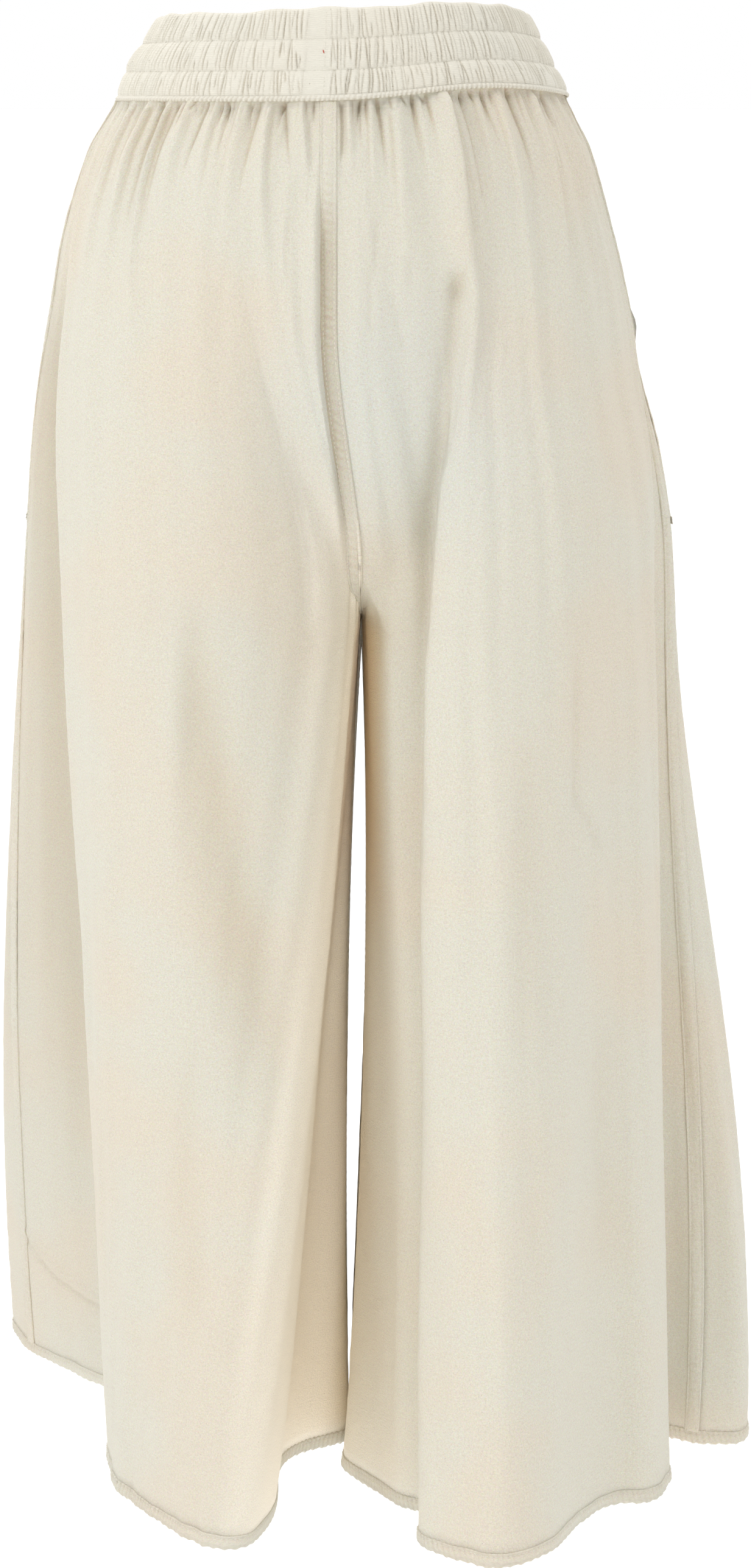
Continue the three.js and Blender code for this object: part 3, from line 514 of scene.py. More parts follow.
def crease_lift(leg, u, x, z):
    """The creases placed one by one."""
    lift = np.zeros_like(z)
    for across, creases in ((True, LONG_CREASES), (False, CROSS_CREASES)):
        for name, (low, high), path, height, left, right, (fade_a, fade_b) in creases:
            if name != leg["name"]:
                continue
            path = np.array(path, float)
            along, beside = (z, x) if across else (x, z)
            key, value = (path[:, 1], path[:, 0]) if across else (path[:, 0], path[:, 1])
            order = np.argsort(key)
            off = beside - np.interp(along, key[order], value[order])
            first, last = key[order][0], key[order][-1]
            top_fade, foot_fade = (fade_b, fade_a) if across else (fade_a, fade_b)
            life = ease((along - first) / top_fade) * ease((last - along) / foot_fade)
            inside = ease((u - low) / 0.04) * ease((high - u) / 0.04)
            lift += height * life * inside * bell(off / np.where(off > 0, left, right))
    return lift


def slack_lift(leg, u, z):
    """The slight unevenness of washed cloth: long soft streaks, and a little crumple over them."""
    along = PANEL_WIDTH * u
    lift = np.zeros_like(z)
    for k in range(9):
        a, b, c = (float(spread(leg["seed"] + 61 * k + n)) for n in (1, 2, 3))
        wide, tall = mix(24, 80, a), mix(170, 520, b)
        lift += 0.24 * np.sin(2 * np.pi * (along / wide + (z + 40 * np.sin(along / 70 + k)) / tall + c))
    for k in range(12):
        a, b, c, d = (float(spread(leg["seed"] + 83 * k + n)) for n in (5, 6, 7, 8))
        turn, wave = mix(-1.1, 1.1, a), mix(7, 19, b)
        ripple = np.sin(2 * np.pi * ((along * math.cos(turn) + z * math.sin(turn)) / wave + d))
        lift += 0.055 * ripple * (0.6 + 0.6 * np.sin(along / 90 + z / 130 + 9 * c))
    return lift


for one in LEGS.values():
    reach_of_edges(one)

POCKET_TOP, POCKET_FOOT = -92.0, -262.0
MOUTH_GAP = 2.2  # how far each panel's edge draws back where the mouth stands fully open


def pocket_open(z):
    """How far a pocket mouth in the side seam stands open at a height, from 0 to 1."""
    t = (POCKET_TOP - np.asarray(z, float)) / (POCKET_TOP - POCKET_FOOT)
    return np.where((t <= 0) | (t >= 1), 0, ease(t / 0.3) * ease((1 - t) / 0.7))


def cloth(leg, u, z):
    """Points of the finished outer face, in millimetres, as an array with x, y and z last."""
    u, z = np.broadcast_arrays(np.asarray(u, float), np.asarray(z, float))
    x, y = folded_cloth(leg, u, z)
    ax, ay = folded_cloth(leg, np.clip(u, 0, 2) - 0.004, z)
    bx, by = folded_cloth(leg, np.clip(u, 0, 2) + 0.004, z)
    length = np.hypot(bx - ax, by - ay)
    out_x, out_y = -leg["sign"] * (by - ay) / length, leg["sign"] * (bx - ax) / length
    # Close to the centre seams and the inside seams nothing lifts it, least of all under the felled strip.
    s = np.where(u < 1, from_edge(leg, "back", u, z), from_edge(leg, "front", u, z))
    under_strip = (leg["sign"] > 0) == (u < 1)
    lift = np.where(z > -260, gather_lift(leg, u, z), 0) * np.where(under_strip, ease((s - 5) / 8), ease(s / 4))
    lift = lift + crease_lift(leg, u, x, z) * np.where(under_strip, ease((s - 4) / 8), ease(s / 2))
    lift = lift + slack_lift(leg, u, z) * ease(-z / 30) * ease((s - 2) / 14)
    # The front's edge stands proud along the pocket mouth, and the right one gapes where the hand goes in.
    gape = 3.6 * bell((z + 138) / 13) * (leg["sign"] < 0)
    lift = lift + np.where(u > 1, (2.4 * pocket_open(z) + gape) * bell((u - 1) * PANEL_WIDTH / 9), 0)
    x, y = x + out_x * lift, y + out_y * lift + np.where(u < 1, 1, -1) * seam_lift(leg, u, z, s)
    rise = seam_rise(x, y) * (1 - ease(-z / 90))
    return np.stack([x, y, z + rise], -1)


def cloth_normal(leg, u, z):
    """The outward direction of the finished face."""
    u, z = np.broadcast_arrays(np.asarray(u, float), np.asarray(z, float))
    across = cloth(leg, u + 0.002, z) - cloth(leg, u - 0.002, z)
    down = cloth(leg, u, z - 0.8) - cloth(leg, u, z + 0.8)
    n = np.cross(across, down) * leg["sign"]
    return n / np.linalg.norm(n, axis=-1, keepdims=True)


def grid_piece(name, points, ring_across=False, ring_down=False, turned=False, uv=None, shades=None):
    """A piece whose faces are a grid of the given points in millimetres, rows by columns; a ring
    closes on itself. A uv map called cloth holds the cloth's own lengths in metres, and shades are values
    at the points for the material."""
    rows, columns = points.shape[:2]
    bpy.ops.object.select_all(action="DESELECT")
    bpy.ops.mesh.primitive_grid_add(x_subdivisions=columns - 1 + ring_across,
        y_subdivisions=rows - 1 + ring_down, size=1)
    piece = bpy.context.object
    piece.name = name
    piece.data.name = name
    piece.data.uv_layers[0].name = "cloth"
    across = columns + ring_across
    down = rows + ring_down
    r, c = np.divmod(np.arange(across * down), across)
    placed = points[r % rows, c % columns] * MM
    piece.data.vertices.foreach_set("co", placed.astype(np.float32).ravel())
    full = points[np.arange(down) % rows][:, np.arange(across) % columns]
    if uv is None:
        widths = np.linalg.norm(np.diff(full, axis=1), axis=2)
        s = np.concatenate([np.zeros((down, 1)), np.cumsum(widths, 1)], 1)
        s -= s[:, across // 2:across // 2 + 1]
        heights = np.linalg.norm(np.diff(full, axis=0), axis=2).mean(1)
        t = np.concatenate([[0], np.cumsum(heights)])
        uv = np.stack([s, np.broadcast_to(-t[:, None], s.shape)], -1)
    for title, values in (shades or {}).items():
        shade = piece.data.attributes.new(title, "FLOAT", "POINT")
        shade.data.foreach_set("value", values[r % rows, c % columns].astype(np.float32))
    loops = np.zeros(len(piece.data.loops), np.int32)
    piece.data.loops.foreach_get("vertex_index", loops)
    piece.data.uv_layers[0].data.foreach_set("uv", (uv.reshape(-1, 2)[loops] * MM).astype(np.float32).ravel())
    if turned:
        piece.data.flip_normals()
    if ring_across or ring_down:
        bpy.ops.object.mode_set(mode="EDIT")
        bpy.ops.mesh.select_all(action="SELECT")
        bpy.ops.mesh.remove_doubles(threshold=0.00001)
        bpy.ops.object.mode_set(mode="OBJECT")
    piece.data.update()
    bpy.ops.object.shade_smooth()
    return piece


def apply_modifier(piece, kind, **settings):
    bpy.ops.object.select_all(action="DESELECT")
    bpy.context.view_layer.objects.active = piece
    piece.select_set(True)
    modifier = piece.modifiers.new(kind.title(), kind)
    for name, value in settings.items():
        setattr(modifier, name, value)
    bpy.ops.object.modifier_apply(modifier=modifier.name)
    return piece


# Unbleached cotton and linen, plain weave, washed: matt, with a fuzzy grain of uneven threads, thicker
# slubs, small dark flecks of seed husk, and cream that wanders between peach and a cooler grey green.
def unbleached_cotton(name, cream, peach, cool):
    material, tree, shader = new_material(name)
    uv = node(tree, "ShaderNodeUVMap", {"uv_map": "cloth"})
    mm = node(tree, "ShaderNodeVectorMath", {"operation": "SCALE"}, {"Scale": 1000.0}, {"Vector": uv.outputs["UV"]})
    place = node(tree, "ShaderNodeTexCoord")
    # threads: about 0.5 mm in the cloth, drawn 1 mm wide so that they show
    threads = []
    for long_way in ((1, 0.16, 1), (0.16, 1, 1)):
        lay = node(tree, "ShaderNodeMapping", None, {"Scale": long_way}, {"Vector": mm.outputs["Vector"]})
        thread = {"Scale": 1.0, "Detail": 2.0, "Roughness": 0.6}
        threads.append(node(tree, "ShaderNodeTexNoise", None, thread, {"Vector": lay.outputs["Vector"]}))
    weave = node(tree, "ShaderNodeMath", {"operation": "ADD"}, None,
        {0: threads[0].outputs["Fac"], 1: threads[1].outputs["Fac"]})
    grain = node(tree, "ShaderNodeTexNoise", None, {"Scale": 1.2, "Detail": 2.0, "Roughness": 0.75},
        {"Vector": mm.outputs["Vector"]})
    fibre = node(tree, "ShaderNodeTexNoise", None, {"Scale": 0.55, "Detail": 3.0, "Roughness": 0.8},
        {"Vector": mm.outputs["Vector"]})
    fibre_ramp = node(tree, "ShaderNodeMapRange", None,
        {"From Min": 0.3, "From Max": 0.7, "To Min": -0.1, "To Max": 0.55}, {"Value": fibre.outputs["Fac"]})
    # tints, 60 to 150 mm across
    wide = node(tree, "ShaderNodeTexNoise", None, {"Scale": 9.0, "Detail": 2.0, "Roughness": 0.5},
        {"Vector": place.outputs["Object"]})
    wide_ramp = node(tree, "ShaderNodeMapRange", {"interpolation_type": "SMOOTHSTEP"},
        {"From Min": 0.4, "From Max": 0.66}, {"Value": wide.outputs["Fac"]})
    tint = node(tree, "ShaderNodeMix", {"data_type": "RGBA"}, {"A": linear(cream), "B": linear(peach)},
        {"Factor": wide_ramp.outputs["Result"]})
    centre = node(tree, "ShaderNodeVectorMath", {"operation": "DISTANCE"}, {1: (-0.035, 0.13, -0.19)},
        {0: place.outputs["Object"]})
    patch = node(tree, "ShaderNodeMapRange", {"interpolation_type": "SMOOTHSTEP"},
        {"From Min": 0.12, "From Max": 0.02, "To Max": 0.5}, {"Value": centre.outputs["Value"]})
    cooled = node(tree, "ShaderNodeMix", {"data_type": "RGBA"}, {"B": linear(cool)},
        {"Factor": patch.outputs["Result"], "A": tint.outputs["Result"]})
    # linen fibres among the cotton, a touch browner, 1 to 3 mm apart
    fibred = node(tree, "ShaderNodeMix", {"data_type": "RGBA"}, {"B": linear("#D1C7AF")},
        {"Factor": fibre_ramp.outputs["Result"], "A": cooled.outputs["Result"]})
    # where the sides hang in the shade of the flutes they are painted browner: painted shade
    shaded = node(tree, "ShaderNodeAttribute", {"attribute_name": "painted_shade_and_raw_brown"})
    flute_shaded_colour = node(tree, "ShaderNodeMix", {"data_type": "RGBA"}, {"B": linear("#BFB29A")},
        {"Factor": shaded.outputs["Fac"], "A": fibred.outputs["Result"]})
    # deep between the legs the cloth is painted lighter and warmer: painted light for the light that goes on from fold
    # to fold there
    depth = node(tree, "ShaderNodeAttribute", {"attribute_name": "painted_fold_light"})
    light_painted = node(tree, "ShaderNodeMix", {"data_type": "RGBA"}, {"B": linear("#FBF1DF")},
        {"Factor": depth.outputs["Fac"], "A": flute_shaded_colour.outputs["Result"]})
    # and where the right thigh turns under at the crotch it is painted a warm yellow: painted shade
    crotch_shade_value = node(tree, "ShaderNodeAttribute", {"attribute_name": "painted_crotch_shade"})
    painted_crotch_shade = node(tree, "ShaderNodeMath", {"operation": "MULTIPLY"}, {1: 0.75}, {0: crotch_shade_value.outputs["Fac"]})
    crotch_shaded_colour = node(tree, "ShaderNodeMix", {"data_type": "RGBA"}, {"B": linear("#EBCFA0")},
        {"Factor": painted_crotch_shade.outputs["Value"], "A": light_painted.outputs["Result"]})
    # painted shade in the sharp creases
    painted_crease_shade = node(tree, "ShaderNodeAttribute", {"attribute_name": "painted_crease_shade"})
    crease_shade_amount = node(tree, "ShaderNodeMath", {"operation": "MULTIPLY"}, {1: 0.42}, {0: painted_crease_shade.outputs["Fac"]})
    creased = node(tree, "ShaderNodeMix", {"data_type": "RGBA"}, {"B": linear("#B0976F")},
        {"Factor": crease_shade_amount.outputs["Value"], "A": crotch_shaded_colour.outputs["Result"]})
    # slubs: thick places in the thread, 1 mm by 10 mm
    slub_lay = node(tree, "ShaderNodeMapping", None, {"Scale": (0.09, 0.9, 1)}, {"Vector": mm.outputs["Vector"]})
    slub = node(tree, "ShaderNodeTexNoise", None, {"Scale": 1.0, "Detail": 1.0},
        {"Vector": slub_lay.outputs["Vector"]})
    slub_ramp = node(tree, "ShaderNodeMapRange", None, {"From Min": 0.63, "From Max": 0.78},
        {"Value": slub.outputs["Fac"]})
    mottle = node(tree, "ShaderNodeMapRange", None,
        {"From Min": 0.28, "From Max": 0.72, "To Min": 0.87, "To Max": 1.09}, {"Value": grain.outputs["Fac"]})
    lit = node(tree, "ShaderNodeMath", {"operation": "MULTIPLY_ADD"}, {1: 0.05},
        {0: slub_ramp.outputs["Result"], 2: mottle.outputs["Result"]})
    grained = node(tree, "ShaderNodeVectorMath", {"operation": "SCALE"}, None,
        {"Vector": creased.outputs["Result"], "Scale": lit.outputs["Value"]})
    # each fibre takes the dye of its own plant: some warmer, some bluer
    own = node(tree, "ShaderNodeTexNoise", None, {"Scale": 0.8, "Detail": 1.0}, {"Vector": mm.outputs["Vector"]})
    mixed = node(tree, "ShaderNodeMix", {"data_type": "RGBA", "blend_type": "OVERLAY"}, {"Factor": 0.16},
        {"A": grained.outputs["Vector"], "B": own.outputs["Color"]})
    # flecks of husk, half a millimetre across, a few to a square centimetre
    fleck = node(tree, "ShaderNodeTexVoronoi", None, {"Scale": 0.3}, {"Vector": mm.outputs["Vector"]})
    small = node(tree, "ShaderNodeMath", {"operation": "LESS_THAN"}, {1: 0.075}, {0: fleck.outputs["Distance"]})
    some = node(tree, "ShaderNodeMath", {"operation": "GREATER_THAN"}, {1: 0.55}, {0: fleck.outputs["Color"]})
    shown = node(tree, "ShaderNodeMath", {"operation": "MULTIPLY"}, None,
        {0: small.outputs["Value"], 1: some.outputs["Value"]})
    faint = node(tree, "ShaderNodeMath", {"operation": "MULTIPLY"}, {1: 0.42}, {0: shown.outputs["Value"]})
    flecked = node(tree, "ShaderNodeMix", {"data_type": "RGBA"}, {"B": linear("#8E7F66")},
        {"Factor": faint.outputs["Value"], "A": mixed.outputs["Result"]})
    tree.links.new(flecked.outputs["Result"], shader.inputs["Base Color"])
    relief = node(tree, "ShaderNodeMath", {"operation": "MULTIPLY_ADD"}, {1: 0.8},
        {0: slub_ramp.outputs["Result"], 2: weave.outputs["Value"]})
    relief = node(tree, "ShaderNodeMath", {"operation": "MULTIPLY_ADD"}, {1: 1.6},
        {0: grain.outputs["Fac"], 2: relief.outputs["Value"]})
    bump = node(tree, "ShaderNodeBump", None, {"Strength": 0.5, "Distance": 0.0006},
        {"Height": relief.outputs["Value"]})
    tree.links.new(bump.outputs["Normal"], shader.inputs["Normal"])
    shader.inputs["Roughness"].default_value = 0.92
    shader.inputs["Specular IOR Level"].default_value = 0.25
    shader.inputs["Sheen Weight"].default_value = 0.12
    shader.inputs["Sheen Roughness"].default_value = 0.6
    return material


plain_weave = unbleached_cotton("unbleached_cotton_plain_weave", "#DDDACD", "#E0D7C7", "#D2D7D3")

# Heights of the rows: close together in the gathers, at the crotch and in the creases by the hem.
ROWS = np.concatenate([
    np.arange(0.8, -12, -1.1), np.arange(-12.5, -60, -2.2), np.arange(-62, -290, -4.2),
    np.arange(-290, -314, -2.4), np.arange(-314, -323, -0.9), np.arange(-325, -350, -3.2),
    np.arange(-352, -762, -9.0), np.arange(-764, -816, -2.6), np.arange(-820, HEM_Z + HEM_DEPTH + 3, -7.0),
    [HEM_Z + HEM_DEPTH],
])
FINE_ROWS = 34  # from the waist down, with twice the columns
COLUMNS = 150


def panel_columns(leg, start):
    """The columns of a panel, shared out evenly between the waist and the hem."""
    fine = np.linspace(start, start + 1, 801)
    waist = np.r_[0, np.cumsum(np.abs(np.diff(waist_angle(leg, fine))))]
    x, y = folded_cloth(leg, fine, np.full_like(fine, HEM_Z))
    hem = np.r_[0, np.cumsum(np.hypot(np.diff(x), np.diff(y)))]
    measure = 0.55 * waist / waist[-1] + 0.45 * hem / hem[-1]
    return np.interp(np.linspace(0, 1, COLUMNS), measure, fine)


def panel_piece(name, leg, start):
    """A flat grid, cut finer where the gathers are, whose points are then laid on the hanging cloth."""
    bpy.ops.object.select_all(action="DESELECT")
    bpy.ops.mesh.primitive_grid_add(x_subdivisions=COLUMNS - 1, y_subdivisions=len(ROWS) - 1, size=1)
    piece = bpy.context.object
    piece.name = piece.data.name = name
    mesh = piece.data
    mesh.uv_layers[0].name = "cloth"
    bpy.ops.object.mode_set(mode="EDIT")
    bpy.ops.mesh.select_mode(type="EDGE")
    bpy.ops.mesh.select_all(action="DESELECT")
    bpy.ops.object.mode_set(mode="OBJECT")
    co = np.zeros(len(mesh.vertices) * 3, np.float32)
    mesh.vertices.foreach_get("co", co)
    level = np.rint((co.reshape(-1, 3)[:, 1] + 0.5) * (len(ROWS) - 1))
    ends = np.zeros(len(mesh.edges) * 2, np.int32)
    mesh.edges.foreach_get("vertices", ends)
    a, b = level[ends.reshape(-1, 2)].T
    mesh.edges.foreach_set("select", (a == b) & (a < FINE_ROWS))
    bpy.ops.object.mode_set(mode="EDIT")
    bpy.ops.mesh.subdivide(number_cuts=1)
    bpy.ops.object.mode_set(mode="OBJECT")
    co = np.zeros(len(mesh.vertices) * 3, np.float32)
    mesh.vertices.foreach_get("co", co)
    across = (co.reshape(-1, 3)[:, 0] + 0.5) * (COLUMNS - 1)
    row = np.rint((co.reshape(-1, 3)[:, 1] + 0.5) * (len(ROWS) - 1)).astype(int)

    columns = panel_columns(leg, start)
    u, z = np.interp(across, np.arange(COLUMNS), columns), ROWS[row]
    # The edges stop just short of the seam, and further back along the pocket mouth.
    mouth = pocket_open(z) * MOUTH_GAP
    first, last = ("back", "side_back") if start == 0 else ("side_front", "front")
    u = np.where(across < 0.01, at_edge(leg, first, 0.1 + start * mouth, z), u)
    u = np.where(across > COLUMNS - 1.01, at_edge(leg, last, 0.1 + (1 - start) * mouth, z), u)
    # Where a felled strip lies on it, the panel is pressed back a little.
    pressed = 0 * z
    for edge, (top, foot) in leg["fells"].items():
        if edge in (first, last):
            s = from_edge(leg, edge, u, z)
            depth = 0.9 if edge.startswith("side") else 1.5
            pressed += depth * ease((s - 0.2) / 0.9) * ease((FELL - 0.2 - s) / 1.0) * (z < top) * (z > foot)
    back = cloth_normal(leg, np.clip(u, start + 0.004, start + 0.996), z) * pressed[:, None]
    mesh.vertices.foreach_set("co", ((cloth(leg, u, z) - back) * MM).astype(np.float32).ravel())

    plain = cloth(leg, columns[None], ROWS[:, None])
    s = np.concatenate([np.zeros((len(ROWS), 1)), np.cumsum(np.linalg.norm(np.diff(plain, axis=1), axis=2), 1)], 1)
    s -= s[:, COLUMNS // 2:COLUMNS // 2 + 1]
    t = np.r_[0, np.cumsum(np.linalg.norm(np.diff(plain, axis=0), axis=2).mean(1))]
    whole = np.minimum(across.astype(int), COLUMNS - 2)
    uv = np.stack([mix(s[row, whole], s[row, whole + 1], across - whole), -t[row]], -1)
    loops = np.zeros(len(mesh.loops), np.int32)
    mesh.loops.foreach_get("vertex_index", loops)
    mesh.uv_layers["cloth"].data.foreach_set("uv", (uv[loops] * MM).astype(np.float32).ravel())
    # How deep in the folds between the legs each point lies, which paints it lighter and warmer there as painted
    # bounced light; the right thigh is painted darker and warmer as painted shade.
    near_seam = np.minimum(u, 2 - u)
    fold_light_paint = (
        (1 - ease((near_seam - 0.19) / 0.13)) * ease((-190 - z) / 190)
        * mix(0.6, 1, ease(near_seam / 0.12)) * np.where(u < 1, 1, 0.4)
    ) if leg["sign"] > 0 else 0 * u
    # Painted shade: the right thigh's inner side below the crotch is painted warmer and darker.
    painted_crotch_shade = (1 - ease((u - 0.10) / 0.05)) * ease((-300 - z) / 30) * (1 - ease((-400 - z) / 160))
    painted_crotch_shade = painted_crotch_shade * (leg["sign"] < 0 and start == 0)
    if leg["sign"] < 0:
        fold_light_paint = 0.7 * bell(near_seam / 0.15) * ease((-420 - z) / 160)
    # Painted shade: the left leg's side is painted browner close behind the flute's outer edge, less so lower down.
    shade = (
        ease((u - 0.71) / 0.035) * mix(1, 0.4, ease((u - 0.80) / 0.15)) * (1 - ease((u - 1.1) / 0.2))
        * ease((-90 - z) / 80) * mix(0.55, 0.1, ease((-520 - z) / 260)) * (leg["sign"] > 0)
    )
    for title, value in (("painted_fold_light", fold_light_paint), ("painted_crotch_shade", painted_crotch_shade), ("painted_shade_and_raw_brown", shade)):
        light_painted = mesh.attributes.new(title, "FLOAT", "POINT")
        light_painted.data.foreach_set("value", value.astype(np.float32))
    # How far each point lies below the cloth beside it, in the gathers: it is painted darker there as painted shade.
    beside = [gather_lift(leg, np.clip(u + d, start, start + 1), z) for d in (-0.008, -0.004, 0.004, 0.008)]
    sunk = np.clip((sum(beside) / 4 - gather_lift(leg, u, z) - 0.15) / 1.1, 0, 1) * ease((100 + z) / 80)
    # and in the troughs of the long folds, which the light reaches less: painted shade there too
    sunk = np.maximum(sunk, 0.6 * np.clip(-crease_lift(leg, u, folded_cloth(leg, u, z)[0], z) / 5, 0, 1))
    shade = mesh.attributes.new("painted_crease_shade", "FLOAT", "POINT")
    shade.data.foreach_set("value", sunk.astype(np.float32))
    if leg["sign"] < 0:
        mesh.flip_normals()
    mesh.update()
    return piece


for leg_name, start, title, cut_width, cut_area in (
    ("left", 0, "back_left", 0.62, 0.385), ("left", 1, "front_left", 0.52, 0.323),
    ("right", 0, "back_right", 0.57, 0.356), ("right", 1, "front_right", 0.57, 0.356),
):
    piece = panel_piece("cloth_" + title, LEGS[leg_name], start)
    piece.data.materials.append(plain_weave)
    apply_modifier(piece, "SOLIDIFY", thickness=CLOTH * MM, offset=-1, use_even_offset=False)
    bpy.ops.object.shade_smooth()
    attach(piece, "root")
    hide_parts(title)

# ------------------------------------------------------------------------------------------------
# The felled seams: the edges of two panels folded into each other, laid flat as a narrow strip on one of
# them and held by two rows of stitches, in the same cotton. The strip ropes a little between its rows.
# ------------------------------------------------------------------------------------------------
FELL_SECTION = np.array([  # across the strip, and above the cloth
    (-0.7, -0.35), (-0.85, 0.1), (-0.75, 0.55), (-0.3, 0.95), (0.4, 0.9), (0.9, 0.62), (1.4, 0.82), (2.4, 1.05),
    (3.6, 1.1), (4.7, 1.1), (5.7, 1.1), (6.6, 1.0), (7.3, 0.8), (7.7, 0.6), (8.1, 0.82), (8.55, 0.95), (8.95, 0.7),
    (9.05, 0.2), (9.0, -0.45),
])
ROW_INSETS = (0.9, 7.7)
EDGE_GAP = 0.15  # from the seam itself to where the strip begins


def fell_place(leg, edge, s, z):
    """The place on the cloth that lies s millimetres from a seam."""
    s, z = np.broadcast_arrays(np.asarray(s, float), np.asarray(z, float))
    mouth = pocket_open(z) * MOUTH_GAP if edge.startswith("side") else 0 * z
    u = at_edge(leg, edge, EDGE_GAP + np.maximum(s, 0) + mouth, z)
    place = cloth(leg, u, z)
    along = cloth(leg, at_edge(leg, edge, 1.6 + mouth, z), z) - cloth(leg, at_edge(leg, edge, 0.2 + mouth, z), z)
    place = place + along / np.linalg.norm(along, axis=-1, keepdims=True) * np.minimum(s, 0)[..., None]
    # the outward direction, taken over 3 mm so that the strip lies smoothly
    ahead, behind = (
        cloth(leg, at_edge(leg, edge, EDGE_GAP + mouth + np.maximum(s, 0.1) + further, z), z) for further in (1.5, 0.0)
    )
    down = cloth(leg, u, z - 1.5) - cloth(leg, u, z + 1.5)
    out = np.cross(ahead - behind, down) * leg["sign"] * EDGES[edge][1]
    return place, out / np.linalg.norm(out, axis=-1, keepdims=True)


def close_ends(piece):
    """Fills the open ends of a tube."""
    bpy.ops.object.mode_set(mode="EDIT")
    bpy.ops.mesh.select_mode(type="EDGE")
    bpy.ops.mesh.select_all(action="DESELECT")
    bpy.ops.mesh.select_non_manifold(extend=False, use_wire=False, use_boundary=True, use_multi_face=False,
        use_non_contiguous=False, use_verts=False)
    bpy.ops.mesh.fill_holes(sides=0)
    bpy.ops.object.mode_set(mode="OBJECT")


def felled_strip(name, leg, edge, top, foot, step, roping):
    """One strip from top to foot beside a seam, laid on the panel that it rests on."""
    z = np.append(np.arange(top, foot, -step), foot)
    s = FELL_SECTION[:, 0]
    place, out = fell_place(leg, edge, s[None], z[:, None])
    wander = np.sin(z / 17 + leg["seed"]) + 0.7 * np.sin(z / 7.3 + 2)
    ropes = np.sin(2 * np.pi * (z[:, None] / 5.6 - 0.075 * s[None] + 0.09 * wander[:, None]))
    between = ease((s - 1.3) / 1.6) * ease((8.0 - s) / 1.6)
    above = FELL_SECTION[:, 1][None] + roping * ropes * between[None] * (0.6 + 0.4 * np.sin(z / 31)[:, None])
    place = place + out * above[..., None]
    # The centre seams lie in a channel: halfway down their strips are painted browner, partly the brown of the raw
    # cotton and partly painted shade of the channel, with painted shade in the hollows where the strip ropes, darkest
    # beside the step.
    in_channel = (top > -3) and edge in ("back", "front")
    channel_brown_and_shade = (ease((-45 - z) / 50) * (1 - 0.8 * ease((-205 - z) / 60)))[:, None] * in_channel
    rope_hollow_shade = -0.9 * ropes * between[None] * (0.5 + 0.5 * np.sin(z / 11 + 1)[:, None]) + 0.2
    rope_hollow_shade = np.clip(rope_hollow_shade, 0, 1) * (s > 0.9)[None]
    shades = {"painted_crease_shade": rope_hollow_shade * mix(0.3, 0.75, channel_brown_and_shade), "painted_shade_and_raw_brown": channel_brown_and_shade * mix(0.42, 0.78, ease((s - 4) / 4.5))[None]}
    piece = grid_piece(name, place, ring_across=True,
        turned=(leg["sign"] < 0) == (edge in ("back", "side_front")), shades=shades)
    close_ends(piece)
    piece.data.materials.append(plain_weave)
    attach(piece, "root")
    return piece


felled_strip("fell_centre_back", LEGS["left"], "back", -1.4, -316, 1.6, 0.22)
felled_strip("fell_centre_front", LEGS["right"], "front", -1.4, -316, 1.6, 0.22)
for leg_name in ("left", "right"):
    leg = LEGS[leg_name]
    felled_strip("fell_side_" + leg_name, leg, "side_back", -1.4, HEM_Z + HEM_DEPTH - 0.6, 2.4, 0.13)
    felled_strip("fell_inside_" + leg_name, leg, "back", -324, HEM_Z + HEM_DEPTH - 0.6, 2.6, 0.1)

# Spun cotton thread in two plies, undyed: a little lighter and smoother than the cloth.
cotton_thread, tree, shader = new_material("cotton_thread_two_ply")
place = node(tree, "ShaderNodeTexCoord")
plies = node(tree, "ShaderNodeTexWave", {"bands_direction": "DIAGONAL"}, {"Scale": 900.0, "Distortion": 1.0},
    {"Vector": place.outputs["Object"]})
shade = node(tree, "ShaderNodeMix", {"data_type": "RGBA"}, {"A": linear("#D2CCBC"), "B": linear("#E9E5D9")},
    {"Factor": plies.outputs["Fac"]})
tree.links.new(shade.outputs["Result"], shader.inputs["Base Color"])
bump = node(tree, "ShaderNodeBump", None, {"Strength": 0.4, "Distance": 0.0001}, {"Height": plies.outputs["Fac"]})
tree.links.new(bump.outputs["Normal"], shader.inputs["Normal"])
shader.inputs["Roughness"].default_value = 0.7
shader.inputs["Sheen Weight"].default_value = 0.1

# One stitch: a short bead of thread that dips into the cloth at both ends.
bpy.ops.object.select_all(action="DESELECT")
bpy.ops.mesh.primitive_uv_sphere_add(segments=6, ring_count=3, radius=0.5)
one_stitch = bpy.context.object
bpy.ops.object.mode_set(mode="EDIT")
bpy.ops.transform.rotate(value=math.pi / 2, orient_axis="Y", center_override=(0, 0, 0))
bpy.ops.object.mode_set(mode="OBJECT")
stitch_points = np.array([v.co for v in one_stitch.data.vertices])
stitch_faces = [list(f.vertices) for f in one_stitch.data.polygons]
bpy.data.objects.remove(one_stitch)


def along_row(values, where, run):
    """The values of a row's points at given distances along it."""
    return np.stack([np.interp(where, run, values[:, i]) for i in range(3)], -1)


